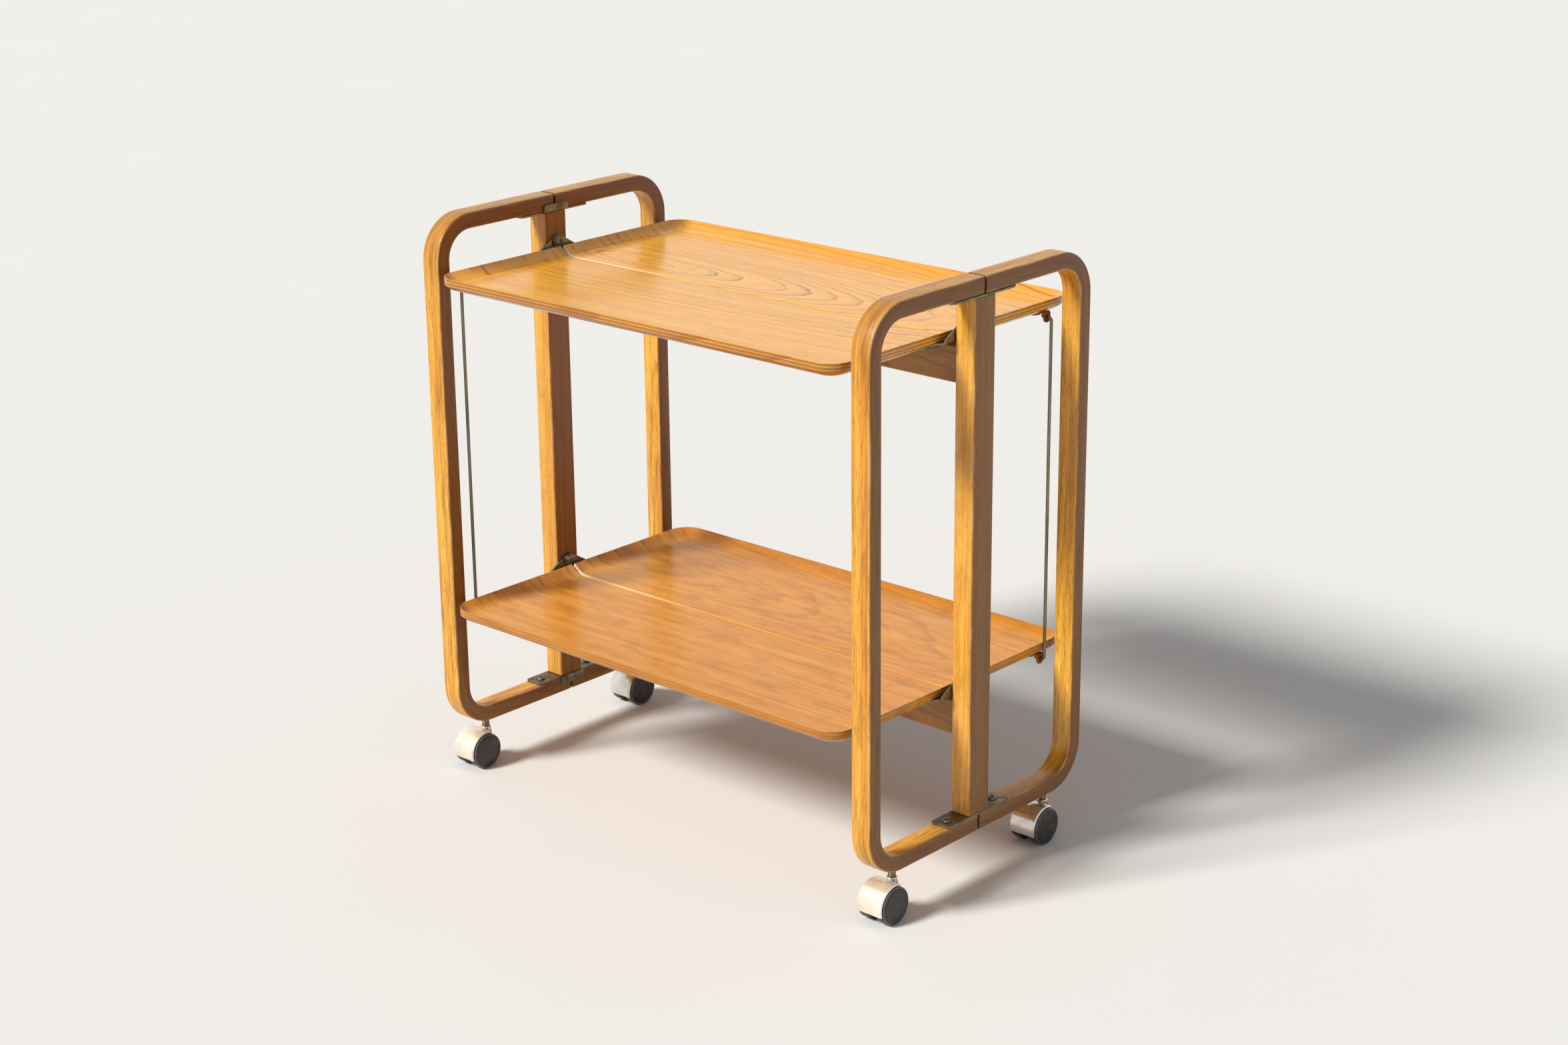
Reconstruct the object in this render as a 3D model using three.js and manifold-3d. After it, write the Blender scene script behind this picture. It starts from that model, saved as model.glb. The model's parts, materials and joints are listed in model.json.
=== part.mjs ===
// A folding serving trolley in bent and moulded wood.
// Two end frames, each made of two bent laminated C halves, carry a centre post between two steel
// hinge plates. Two stretchers join the posts. Each of the two trays is a moulded plywood dish sawn
// in two along its length: both halves of a tray fold up about one bolt at each post, and a wire rod
// on each side makes the lower half follow the upper one. It runs on four hooded twin-wheel casters.
// Millimetres, +Z up, X along the trolley, -Y the front. The origin is on the floor, under the centre.
import * as THREE from "three";
import { mergeVertices } from "three/addons/utils/BufferGeometryUtils.js";
import Module from "manifold-3d";

const wasm = await Module();
wasm.setup();

// End frames
const frameSpacing = 746; // between the middle planes of the two end frames
const frameDepth = 430; // over the front and rear legs
const frameHeight = 726; // from the underside of the bottom rails to the top of the top rails
const stripWidth = 30; // bent strip, measured along the trolley
const stripThickness = 22; // bent strip, through its laminations
const bendRadius = 60; // outside of the bends
const stripEase = 2.4; // rounding of the strip's long edges
const halvesGap = 3; // between the ends of the two halves of a frame

// Fits
const seatGap = 0.3; // between pieces that are fixed face to face
const runningGap = 0.4; // round a pin that turns, and beside a piece that turns
const overrun = 5; // how far a cutting tool runs past the face that it opens
const weldDistance = 0.0003; // vertices closer than this are one

// Posts and stretchers
const postWidth = 30; // along the trolley
const postDepth = 40; // across the trolley
const postEase = 2;
const stretcherThickness = 22;
const stretcherDepth = 46;
const stretcherEase = 2;
const tenonLength = 18;
const tenonThickness = 10;
const tenonDepth = 34;

// Hinge plates, and the screws that the frame halves turn on
const plateThickness = 2.5;
const plateHalfLength = 62;
const plateCornerRadius = 5;
const plateBend = 1; // inside of the bend between the plate and its tab
const plateTabHalfLength = 22;
const plateTabHeight = 12;
const plateTabCornerRadius = 4;
const frameHingeOffset = 46; // from the middle of the trolley's depth to the screw
const screwRadius = 3;
const screwHeadRadius = 6.5;
const screwHeadHeight = 2.8;
const screwGrip = 14; // length of the screw inside the wood

// Trays
const upperPivotDrop = 65; // from the top of the frames down to the upper tray's bolts
const lowerPivotRise = 177; // from the top of the bottom rails up to the lower tray's bolts
const trayEndGap = 11; // from the end of a tray to the posts
const trayWidth = 462; // over both halves
const trayCornerRadius = 30;
const plyThickness = 8;
const lipHeight = 12.5; // from the tray's floor up to its rim
const lipBendRadius = 26; // on the upper side, between the floor and the lip
const lipSlope = THREE.MathUtils.degToRad(42);
const seamGap = 2.4; // between the two halves of a tray
const rimBelowPivot = 5.5;

// Folding arms and the bolts that they turn on
const armThickness = 2.4;
const armBend = 1.2; // inside of its bends
const armEyeRadius = 9;
const armSlopeEnd = 42; // from the middle of the depth to where its sloping edge meets the foot
const armFootStart = 15;
const armFootEnd = 50;
const armFootCornerRadius = 3;
const armFootChamfer = 14; // off its outer corner, which passes the hinge plate's tab when folded
const armFlangeLength = 26; // how far its flange runs in under the flat of the tray
const boltRadius = 3;
const boltHeadRadius = 6.5;
const boltHeadHeight = 3.2;
const boltGrip = 22; // length of the bolt inside the post

// Link rods and the tabs that they hook into
const rodRadius = 2.2;
const rodBendRadius = 5;
const rodOffset = 181; // from the middle of the depth
const rodHoleBelowPivot = 28;
const rodHoleClearance = 0.5;
const rodOutset = 4.8; // from the end of the tray to the middle of the upright rod
const rodHookInset = 9.5; // how far the bent end stands in past the end of the tray
const tabThickness = 2.2;
const tabHalfWidth = 6.5;
const tabBend = 1.2; // inside of its fold
const tabSlope = THREE.MathUtils.degToRad(30); // at which its flange leaves the tray's lip
const tabEndDrop = 1; // from the middle of the hole down to the centre of the tab's round end
const tabFlangeLength = 20; // how far its flange runs in under the flat of the tray

// Casters
const stemOffset = 155; // from the middle of the depth
const casterTrail = 17; // from the stem forwards to the axle
const wheelRadius = 25;
const wheelInnerFace = 6.6; // from the middle of the caster
const wheelShoulder = 1.6; // bevel of the tread
const treadEdge = 20.2;
const domeEdge = 22;
const domeInset = 2.4; // from the tread in to the edge of the wheel's domed face
const wheelCrown = 24; // outermost point of the wheel's domed face
const axleRadius = 4;
const axleReach = 18;
const webHalfWidth = 6;
const webHubRadius = 9;
const hoodGap = 1.2; // between the treads and the hood
const hoodWall = 1.6;
const hoodEase = 0.4;
const hoodHalfWidth = 20.5;
const hoodLowerEdge = THREE.MathUtils.degToRad(-17); // from the forward level upwards
const hoodRearEdge = THREE.MathUtils.degToRad(114);
const hoodBossRadius = 7;
const hoodBossHeight = 6;
const hoodBossRise = 3.5; // from the top of the wheels up to the top of the boss
const stemRadius = 4;
const stemSeat = 15; // how deep the stem stands in the hood
const stemShown = 12.5; // between the hood's boss and the bottom rail
const stemNeckRadius = 5;
const stemCollarRadius = 8;
const stemCollarHeight = 2.4;
const stemGrip = 15; // length of the stem inside the bottom rail

// Fineness of the curved faces
const bendSteps = 8;
const cornerSteps = 6;
const lipSteps = 4;
const hoodSteps = 10;
const wheelSteps = 24;
const headSteps = 12;
const pinSteps = 10;
const easeSteps = 2;

// Places worked out from the sizes above
const quarter = Math.PI / 2;
const hoodInnerRadius = wheelRadius + hoodGap;
const hoodBossTop = 2 * wheelRadius + hoodBossRise;
const hoodBossFoot = hoodBossTop - hoodBossHeight;
const casterHeight = hoodBossTop + stemShown; // of the underside of the bottom rails
const frameX = frameSpacing / 2;
const frameTop = casterHeight + frameHeight;
const topRailUnderside = frameTop - stripThickness;
const bottomRailTop = casterHeight + stripThickness;
const topPlateFoot = topRailUnderside - seatGap - plateThickness;
const bottomPlateTop = bottomRailTop + seatGap + plateThickness;
const postInnerX = frameX - postWidth / 2;
const trayEndX = postInnerX - trayEndGap;
const floorBelowPivot = rimBelowPivot + lipHeight;
const undersideBelowPivot = floorBelowPivot + plyThickness;
const stretcherDrop = undersideBelowPivot + runningGap + stretcherDepth / 2;
const bendCentreBelowPivot = floorBelowPivot - lipBendRadius;
const lipRun =
  lipBendRadius * Math.sin(lipSlope) +
  (lipHeight - lipBendRadius * (1 - Math.cos(lipSlope))) / Math.tan(lipSlope);
const flatEndX = trayEndX - lipRun;
const edgeFootBelowPivot = rimBelowPivot + plyThickness / Math.cos(lipSlope);
const armOuterX = postInnerX - seatGap; // a front arm lies against the post
const armMiddleX = armOuterX - armThickness - runningGap; // a rear arm lies on the front arm
const boltHeadX = armMiddleX - armThickness - runningGap;
const rodX = trayEndX + rodOutset;
const stemTop = casterHeight + stemGrip;
const pivots = { upper: frameTop - upperPivotDrop, lower: bottomRailTop + lowerPivotRise };

const bentWood = new THREE.MeshStandardMaterial({ color: 0xb4702f, roughness: 0.45, metalness: 0 });
const solidWood = new THREE.MeshStandardMaterial({ color: 0x9c5a26, roughness: 0.5, metalness: 0 });
const trayVeneer = new THREE.MeshStandardMaterial({ color: 0xc98b47, roughness: 0.35, metalness: 0 });
const bracketSteel = new THREE.MeshStandardMaterial({ color: 0x5d574a, roughness: 0.45, metalness: 0.9 });
const rodSteel = new THREE.MeshStandardMaterial({ color: 0x8b8678, roughness: 0.35, metalness: 1 });
const chrome = new THREE.MeshStandardMaterial({ color: 0xd9d5ca, roughness: 0.12, metalness: 1 });
const wheelPlastic = new THREE.MeshStandardMaterial({ color: 0x262524, roughness: 0.45, metalness: 0 });

// Closed solid of a geometry; triangles with two equal corners, such as those on an axis, drop out
function toSolid(geometry) {
  const bare = new THREE.BufferGeometry();
  bare.setAttribute("position", geometry.getAttribute("position"));
  bare.setIndex(geometry.index);
  const merged = mergeVertices(bare, weldDistance);
  const corners = Array.from(merged.index.array);
  const kept = [];
  for (let i = 0; i < corners.length; i += 3) {
    const [a, b, c] = corners.slice(i, i + 3);
    if (a !== b && b !== c && c !== a) kept.push(a, b, c);
  }
  return new wasm.Manifold(
    new wasm.Mesh({
      numProp: 3,
      vertProperties: new Float32Array(merged.attributes.position.array),
      triVerts: new Uint32Array(kept),
    }),
  );
}

function toGeometry(solid) {
  const mesh = solid.getMesh();
  const geometry = new THREE.BufferGeometry();
  geometry.setAttribute("position", new THREE.BufferAttribute(mesh.vertProperties, mesh.numProp));
  geometry.setIndex(new THREE.BufferAttribute(mesh.triVerts, 1));
  geometry.computeVertexNormals();
  return geometry;
}

const join = (first, ...others) =>
  toGeometry(others.reduce((sum, other) => sum.add(toSolid(other)), toSolid(first)));

const cut = (first, ...tools) =>
  toGeometry(tools.reduce((rest, tool) => rest.subtract(toSolid(tool)), toSolid(first)));

const common = (first, second) => toGeometry(toSolid(first).intersect(toSolid(second)));

const point = (u, v) => new THREE.Vector2(u, v);

// Points of an arc, both ends included
const arc = (centreU, centreV, radius, from, to, steps) =>
  Array.from({ length: steps + 1 }, (_, i) => {
    const angle = from + ((to - from) * i) / steps;
    return point(centreU + radius * Math.cos(angle), centreV + radius * Math.sin(angle));
  });

// Corner points of a rectangle with round corners
const roundedRectangle = (u, v, halfU, halfV, radius, steps) => [
  ...arc(u + halfU - radius, v + halfV - radius, radius, 0, quarter, steps),
  ...arc(u - halfU + radius, v + halfV - radius, radius, quarter, 2 * quarter, steps),
  ...arc(u - halfU + radius, v - halfV + radius, radius, 2 * quarter, 3 * quarter, steps),
  ...arc(u + halfU - radius, v - halfV + radius, radius, 3 * quarter, 4 * quarter, steps),
];

// Points of a line through the corners, each with its direction there. Each inner corner is rounded
// by its own radius.
const rightOf = (direction) => point(direction.y, -direction.x);
function roundedLine(corners, radii) {
  const heading = (i) => corners[i + 1].clone().sub(corners[i]).normalize();
  const last = corners.length - 1;
  const line = [[corners[0], heading(0)]];
  for (let i = 1; i < last; i++) {
    const before = heading(i - 1);
    const after = heading(i);
    const turn = Math.atan2(before.cross(after), before.dot(after));
    const radius = radii[i - 1] * Math.sign(turn);
    const start = corners[i].clone().addScaledVector(before, -radius * Math.tan(turn / 2));
    const centre = start.clone().addScaledVector(rightOf(before), -radius);
    for (let step = 0; step <= lipSteps; step++) {
      const direction = before.clone().rotateAround(point(0, 0), (turn * step) / lipSteps);
      line.push([centre.clone().addScaledVector(rightOf(direction), radius), direction]);
    }
  }
  line.push([corners[last], heading(last - 1)]);
  return line;
}

// Section of a bent sheet that lies on the right-hand side of such a line
function bentSheet(corners, radii, thickness) {
  const line = roundedLine(corners, radii);
  const back = line.map(([at, direction]) => at.clone().addScaledVector(rightOf(direction), thickness));
  return [...line.map(([at]) => at), ...back.reverse()];
}

const axesYZX = new THREE.Matrix4().makeBasis(
  new THREE.Vector3(0, 1, 0),
  new THREE.Vector3(0, 0, 1),
  new THREE.Vector3(1, 0, 0),
);
const axesXZY = new THREE.Matrix4().makeBasis(
  new THREE.Vector3(1, 0, 0),
  new THREE.Vector3(0, 0, 1),
  new THREE.Vector3(0, -1, 0),
);

// An outline in Y and Z, extruded along X, with its edges rounded by an ease
function extrudeX(outline, fromX, toX, ease = 0) {
  const geometry = new THREE.ExtrudeGeometry(new THREE.Shape(outline), {
    depth: Math.abs(toX - fromX) - 2 * ease,
    bevelEnabled: ease > 0,
    bevelSize: ease,
    bevelThickness: ease,
    bevelOffset: -ease,
    bevelSegments: easeSteps,
  });
  return geometry.applyMatrix4(axesYZX).translate(Math.min(fromX, toX) + ease, 0, 0);
}

// An outline in X and Z, extruded along Y
function extrudeY(outline, fromY, toY) {
  const depth = Math.abs(toY - fromY);
  const geometry = new THREE.ExtrudeGeometry(new THREE.Shape(outline), { depth, bevelEnabled: false });
  return geometry.applyMatrix4(axesXZY).translate(0, Math.max(fromY, toY), 0);
}

// An outline in X and Y, extruded along Z
function extrudeZ(outline, fromZ, toZ) {
  const depth = toZ - fromZ;
  const geometry = new THREE.ExtrudeGeometry(new THREE.Shape(outline), { depth, bevelEnabled: false });
  return geometry.translate(0, 0, fromZ);
}

function block(fromX, toX, fromY, toY, fromZ, toZ) {
  const geometry = new THREE.BoxGeometry(Math.abs(toX - fromX), Math.abs(toY - fromY), toZ - fromZ);
  return geometry.translate((fromX + toX) / 2, (fromY + toY) / 2, (fromZ + toZ) / 2);
}

// Cylinder along X or along Z
const pinX = (radius, fromX, toX, y, z) =>
  new THREE.CylinderGeometry(radius, radius, Math.abs(toX - fromX), pinSteps)
    .rotateZ(quarter)
    .translate((fromX + toX) / 2, y, z);
const pinZ = (radius, x, y, fromZ, toZ) =>
  new THREE.CylinderGeometry(radius, radius, toZ - fromZ, pinSteps)
    .rotateX(quarter)
    .translate(x, y, (fromZ + toZ) / 2);

// Solid of revolution about Z, or about X; the profile holds radii and places along the axis
const turnedZ = (profile, steps) => new THREE.LatheGeometry(profile, steps).rotateX(quarter);
const turnedX = (profile, steps) => new THREE.LatheGeometry(profile, steps).rotateZ(-quarter);

// Closed body over rings of equally many points, each ring counterclockwise seen from the last one
function loft(rings) {
  const count = rings[0].length;
  const points = rings.flat();
  const middle = (ring) =>
    ring.reduce((sum, at) => sum.add(at), new THREE.Vector3()).divideScalar(count);
  const index = [];
  const first = points.length;
  const last = first + 1;
  const lastRing = first - count;
  for (let i = 0; i < count; i++) {
    const next = (i + 1) % count;
    index.push(first, next, i, last, lastRing + i, lastRing + next);
    for (let ring = 0; ring < lastRing; ring += count) {
      const [a, b, c, d] = [ring + i, ring + next, ring + count + next, ring + count + i];
      index.push(a, b, c, a, c, d);
    }
  }
  const geometry = new THREE.BufferGeometry().setFromPoints([
    ...points,
    middle(rings[0]),
    middle(rings.at(-1)),
  ]);
  return geometry.setIndex(index);
}

// A piece drawn for the right-hand end; for the left-hand end it is turned about the middle
const forSide = (side, geometry) => (side < 0 ? geometry.rotateZ(2 * quarter) : geometry);

// One bent half of an end frame: top rail, leg and bottom rail in one strip
function frameHalf(side, face) {
  const end = halvesGap / 2;
  const bendY = frameDepth / 2 - bendRadius;
  const upperBendZ = frameTop - bendRadius;
  const lowerBendZ = casterHeight + bendRadius;
  const innerRadius = bendRadius - stripThickness;
  const outline = [
    point(end, frameTop),
    ...arc(bendY, upperBendZ, bendRadius, quarter, 0, bendSteps),
    ...arc(bendY, lowerBendZ, bendRadius, 0, -quarter, bendSteps),
    point(end, casterHeight),
    point(end, bottomRailTop),
    ...arc(bendY, lowerBendZ, innerRadius, -quarter, 0, bendSteps),
    ...arc(bendY, upperBendZ, innerRadius, 0, quarter, bendSteps),
    point(end, topRailUnderside),
  ].map((at) => point(face * at.x, at.y));
  const strip = extrudeX(outline, -stripWidth / 2, stripWidth / 2, stripEase);
  const hingeY = face * frameHingeOffset;
  const bore = screwRadius + seatGap;
  const deep = screwGrip + seatGap;
  return cut(
    strip,
    pinZ(bore, 0, hingeY, topRailUnderside - overrun, topRailUnderside + deep),
    pinZ(bore, 0, hingeY, bottomRailTop - deep, bottomRailTop + overrun),
    pinZ(stemNeckRadius + seatGap, 0, face * stemOffset, casterHeight - overrun, stemTop + seatGap),
  ).translate(side * frameX, 0, 0);
}

// Centre post, mortised for the stretchers and bored for the tray bolts
function post(side) {
  const body = extrudeZ(
    roundedRectangle(frameX, 0, postWidth / 2, postDepth / 2, postEase, easeSteps),
    bottomPlateTop + seatGap,
    topPlateFoot - seatGap,
  );
  const tools = Object.values(pivots).flatMap((pivot) => {
    const middle = pivot - stretcherDrop;
    const halfThickness = tenonThickness / 2 + seatGap;
    const halfDepth = tenonDepth / 2 + seatGap;
    const mortiseEnd = postInnerX + tenonLength;
    return [
      block(
        postInnerX - overrun,
        mortiseEnd,
        -halfThickness,
        halfThickness,
        middle - halfDepth,
        middle + halfDepth,
      ),
      pinX(boltRadius + seatGap, postInnerX - overrun, postInnerX + boltGrip + seatGap, 0, pivot),
    ];
  });
  return forSide(side, cut(body, ...tools));
}

function stretcher(pivot) {
  const half = postInnerX - seatGap;
  const outline = roundedRectangle(
    0,
    0,
    stretcherThickness / 2,
    stretcherDepth / 2,
    stretcherEase,
    easeSteps,
  );
  const tenonEnd = half + tenonLength;
  const tenons = block(
    -tenonEnd,
    tenonEnd,
    -tenonThickness / 2,
    tenonThickness / 2,
    -tenonDepth / 2,
    tenonDepth / 2,
  );
  return join(extrudeX(outline, -half, half), tenons).translate(0, 0, pivot - stretcherDrop);
}

// Hinge plate of the top rails, with a tab bent up over their inner faces. The plate of the bottom
// rails is the same piece turned over.
function hingePlate(side, isTop) {
  const innerX = -stripWidth / 2 - seatGap;
  const flat = extrudeZ(
    roundedRectangle(0, 0, stripWidth / 2, plateHalfLength, plateCornerRadius, easeSteps),
    0,
    plateThickness,
  );
  const bent = extrudeY(
    bentSheet(
      [point(innerX, plateTabHeight), point(innerX, plateThickness), point(0, plateThickness)],
      [plateBend],
      plateThickness,
    ),
    -plateTabHalfLength,
    plateTabHalfLength,
  );
  const tabOutline = roundedRectangle(
    0,
    0,
    plateTabHalfLength,
    plateTabHeight,
    plateTabCornerRadius,
    easeSteps,
  );
  const tab = common(bent, extrudeX(tabOutline, -stripWidth, stripWidth));
  const holes = [-frameHingeOffset, frameHingeOffset].map((y) =>
    pinZ(screwRadius + runningGap, 0, y, -overrun, plateThickness + overrun),
  );
  const plate = cut(join(flat, tab), ...holes);
  if (!isTop) plate.rotateX(2 * quarter);
  return forSide(side, plate.translate(frameX, 0, isTop ? topPlateFoot : bottomPlateTop));
}

// Screw with a domed head under it and its shank up into the wood
function hingeScrew(isTop) {
  const shoulder = plateThickness + runningGap;
  const screw = turnedZ(
    [
      point(0, -screwHeadHeight),
      point(screwHeadRadius / 2, -screwHeadHeight),
      point(screwHeadRadius, -screwHeadHeight / 2),
      point(screwHeadRadius, 0),
      point(screwRadius, 0),
      point(screwRadius, shoulder + screwGrip),
      point(0, shoulder + screwGrip),
    ],
    headSteps,
  );
  if (!isTop) screw.rotateX(2 * quarter);
  return screw.translate(
    0,
    0,
    isTop ? topPlateFoot - runningGap : bottomPlateTop + runningGap,
  );
}

// Rings of the moulded dish, from the middle of its underside round the rim to the middle of its top.
// Each ring is the outline of the tray moved inwards.
function trayDish() {
  const ring = (inset, belowPivot) =>
    roundedRectangle(
      0,
      0,
      trayEndX - inset,
      trayWidth / 2 - inset,
      trayCornerRadius - inset,
      cornerSteps,
    ).map((at) => new THREE.Vector3(at.x, at.y, -belowPivot));
  const bend = (radius, from, to) =>
    Array.from({ length: lipSteps + 1 }, (_, i) => {
      const angle = from + ((to - from) * i) / lipSteps;
      return ring(lipRun - radius * Math.sin(angle), bendCentreBelowPivot + radius * Math.cos(angle));
    });
  return loft([
    ...bend(lipBendRadius + plyThickness, 0, lipSlope),
    ring(0, edgeFootBelowPivot),
    ring(0, rimBelowPivot),
    ...bend(lipBendRadius, lipSlope, 0),
  ]);
}

function trayHalf(face, pivot) {
  const outerY = face * (trayWidth / 2 + overrun);
  const halfX = trayEndX + overrun;
  const side = block(-halfX, halfX, (face * seamGap) / 2, outerY, -undersideBelowPivot - overrun, 0);
  return common(trayDish(), side).translate(0, 0, pivot);
}

// Upper face of a fitting that follows the underside of the tray outwards and leaves it at a slope.
// The next bend starts at the last point, less the length that its rounding takes.
function underTray(flangeLength, slope, nextBend) {
  const radius = lipBendRadius + plyThickness + seatGap;
  const faceZ = -undersideBelowPivot - seatGap;
  const tangent = radius * Math.tan(slope / 2);
  const reach = tangent + nextBend + seatGap;
  const cornerX = flatEndX + tangent;
  return {
    corners: [
      point(flatEndX - flangeLength, faceZ),
      point(cornerX, faceZ),
      point(cornerX + reach * Math.cos(slope), faceZ + reach * Math.sin(slope)),
    ],
    radius,
  };
}

// Folding arm: an upright leaf with an eye for the tray bolt, and a foot bent in under the tray
function arm(side, face, outerX, pivot) {
  const outerBend = armBend + armThickness;
  const { corners, radius } = underTray(armFlangeLength, lipSlope, outerBend * Math.tan(lipSlope / 2));
  const footZ = corners.at(-1).y;
  const section = bentSheet(
    [...corners, point(outerX - armThickness, footZ), point(outerX - armThickness, armEyeRadius)],
    [radius, outerBend, armBend],
    armThickness,
  );
  const turned = face * side;
  const sheet = extrudeY(section, -turned * armEyeRadius, turned * armFootEnd);
  const shoulderZ = footZ + armBend;
  const tangentAngle = (at, sense) =>
    Math.atan2(at.y, at.x) + sense * Math.acos(armEyeRadius / at.length());
  const slopeFoot = point(armSlopeEnd, shoulderZ);
  const heel = point(armFootStart, footZ);
  const underneath = -undersideBelowPivot - overrun;
  const outline = [
    ...arc(
      0,
      0,
      armEyeRadius,
      tangentAngle(slopeFoot, 1),
      tangentAngle(heel, -1) + 4 * quarter,
      bendSteps,
    ),
    heel,
    point(armFootStart, underneath),
    ...arc(
      armFootEnd - armFootCornerRadius,
      underneath + armFootCornerRadius,
      armFootCornerRadius,
      -quarter,
      0,
      easeSteps,
    ),
    point(armFootEnd, shoulderZ),
    slopeFoot,
  ].map((at) => point(turned * at.x, at.y));
  const leaf = common(sheet, extrudeX(outline, 0, frameX));
  const eye = pinX(boltRadius + runningGap, armMiddleX - frameX, frameX, 0, 0);
  const chamfer = extrudeZ(
    [
      point(outerX + overrun, armFootEnd - armFootChamfer - overrun),
      point(outerX + overrun, armFootEnd + overrun),
      point(outerX - armFootChamfer - overrun, armFootEnd + overrun),
    ].map((at) => point(at.x, turned * at.y)),
    underneath,
    0,
  );
  return forSide(side, cut(leaf, eye, chamfer)).translate(0, 0, pivot);
}

// Bolt through both arms into the post
function trayBolt(side, pivot) {
  const bolt = turnedX(
    [
      point(0, boltHeadX - boltHeadHeight),
      point(boltHeadRadius / 2, boltHeadX - boltHeadHeight),
      point(boltHeadRadius, boltHeadX - boltHeadHeight / 2),
      point(boltHeadRadius, boltHeadX),
      point(boltRadius, boltHeadX),
      point(boltRadius, postInnerX + boltGrip),
      point(0, postInnerX + boltGrip),
    ],
    headSteps,
  );
  return forSide(side, bolt).translate(0, 0, pivot);
}

// Tab under the end of a tray half, with the hole that a link rod hooks into
function rodTab(side, face, pivot) {
  const outerBend = tabBend + tabThickness;
  const fold = outerBend * Math.tan((quarter + tabSlope) / 2);
  const { corners, radius } = underTray(tabFlangeLength, tabSlope, fold);
  const holeY = face * side * rodOffset;
  const endZ = -rodHoleBelowPivot - tabEndDrop;
  const foot = point(corners.at(-1).x, endZ - tabHalfWidth);
  const section = bentSheet([...corners, foot], [radius, outerBend], tabThickness);
  const sheet = extrudeY(section, holeY - tabHalfWidth, holeY + tabHalfWidth);
  const outline = [
    ...arc(holeY, endZ, tabHalfWidth, -2 * quarter, 0, cornerSteps),
    point(holeY + tabHalfWidth, 0),
    point(holeY - tabHalfWidth, 0),
  ];
  const tab = common(sheet, extrudeX(outline, 0, frameX));
  const hole = pinX(rodRadius + rodHoleClearance, flatEndX, frameX, holeY, -rodHoleBelowPivot);
  return forSide(side, cut(tab, hole)).translate(0, 0, pivot);
}

// Link rod: a wire with both ends bent square into the holes of the upper and the lower tab
function linkRod(side, face) {
  const endX = trayEndX - rodHookInset;
  const upperZ = pivots.upper - rodHoleBelowPivot;
  const lowerZ = pivots.lower - rodHoleBelowPivot;
  const rodY = face * side * rodOffset;
  const corners = [
    point(endX, upperZ),
    point(rodX, upperZ),
    point(rodX, lowerZ),
    point(endX, lowerZ),
  ];
  const rings = roundedLine(corners, [rodBendRadius, rodBendRadius]).map(([at, direction]) =>
    arc(0, 0, rodRadius, 0, 4 * quarter, pinSteps)
      .slice(1)
      .map(
        (spoke) =>
          new THREE.Vector3(
            at.x - spoke.y * direction.y,
            rodY + spoke.x,
            at.y + spoke.y * direction.x,
          ),
      ),
  );
  return forSide(side, loft(rings));
}

// Caster hood about its stem: a curved shell with a web in the middle that holds the axle and stem
function casterHood() {
  const fromAxle = (radius, from, to) =>
    arc(0, 0, radius, from, to, hoodSteps).map((at) => point(-casterTrail - at.x, wheelRadius + at.y));
  const shell = extrudeX(
    [
      ...fromAxle(hoodInnerRadius + hoodWall, hoodLowerEdge, hoodRearEdge),
      ...fromAxle(hoodInnerRadius, hoodRearEdge, hoodLowerEdge),
    ],
    -hoodHalfWidth,
    hoodHalfWidth,
    hoodEase,
  );
  const middle = hoodInnerRadius + hoodWall / 2;
  const sector = extrudeX(
    [point(-casterTrail, wheelRadius), ...fromAxle(middle, 0, hoodRearEdge)],
    -webHalfWidth,
    webHalfWidth,
  );
  const spine = block(
    -webHalfWidth,
    webHalfWidth,
    -casterTrail,
    stemNeckRadius,
    wheelRadius,
    hoodBossFoot + hoodWall,
  );
  const hub = pinX(webHubRadius, -webHalfWidth, webHalfWidth, -casterTrail, wheelRadius);
  const axle = pinX(axleRadius, -axleReach, axleReach, -casterTrail, wheelRadius);
  const boss = pinZ(hoodBossRadius, 0, 0, hoodBossFoot, hoodBossTop);
  const seatFoot = hoodBossTop - stemSeat;
  const bore = pinZ(stemRadius + runningGap, 0, 0, seatFoot, hoodBossTop + overrun);
  return cut(join(shell, sector, spine, hub, axle, boss), bore);
}

function casterStem() {
  const collarFoot = casterHeight - seatGap - stemCollarHeight;
  return turnedZ(
    [
      point(0, hoodBossTop - stemSeat + runningGap),
      point(stemRadius, hoodBossTop - stemSeat + runningGap),
      point(stemRadius, hoodBossTop + runningGap),
      point(stemNeckRadius, hoodBossTop + runningGap),
      point(stemNeckRadius, collarFoot),
      point(stemCollarRadius, collarFoot),
      point(stemCollarRadius, casterHeight - seatGap),
      point(stemNeckRadius, casterHeight - seatGap),
      point(stemNeckRadius, stemTop),
      point(0, stemTop),
    ],
    pinSteps,
  );
}

// One wheel of a caster, with a blind bore for the axle and a domed outer face
function wheel(sense) {
  const bore = axleRadius + runningGap;
  const boreEnd = axleReach + runningGap;
  const domeEdgeRadius = wheelRadius - domeInset;
  const crownHeight = wheelCrown - domeEdge;
  const domeRadius = (domeEdgeRadius * domeEdgeRadius + crownHeight * crownHeight) / (2 * crownHeight);
  const domeAngle = Math.asin(domeEdgeRadius / domeRadius);
  const disc = turnedX(
    [
      point(0, boreEnd),
      point(bore, boreEnd),
      point(bore, wheelInnerFace),
      point(wheelRadius - wheelShoulder, wheelInnerFace),
      point(wheelRadius, wheelInnerFace + wheelShoulder),
      point(wheelRadius, treadEdge),
      ...arc(0, wheelCrown - domeRadius, domeRadius, quarter - domeAngle, quarter, easeSteps),
    ],
    wheelSteps,
  );
  return forSide(sense, disc).translate(0, -casterTrail, wheelRadius);
}

const trolley = new THREE.Group();

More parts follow.
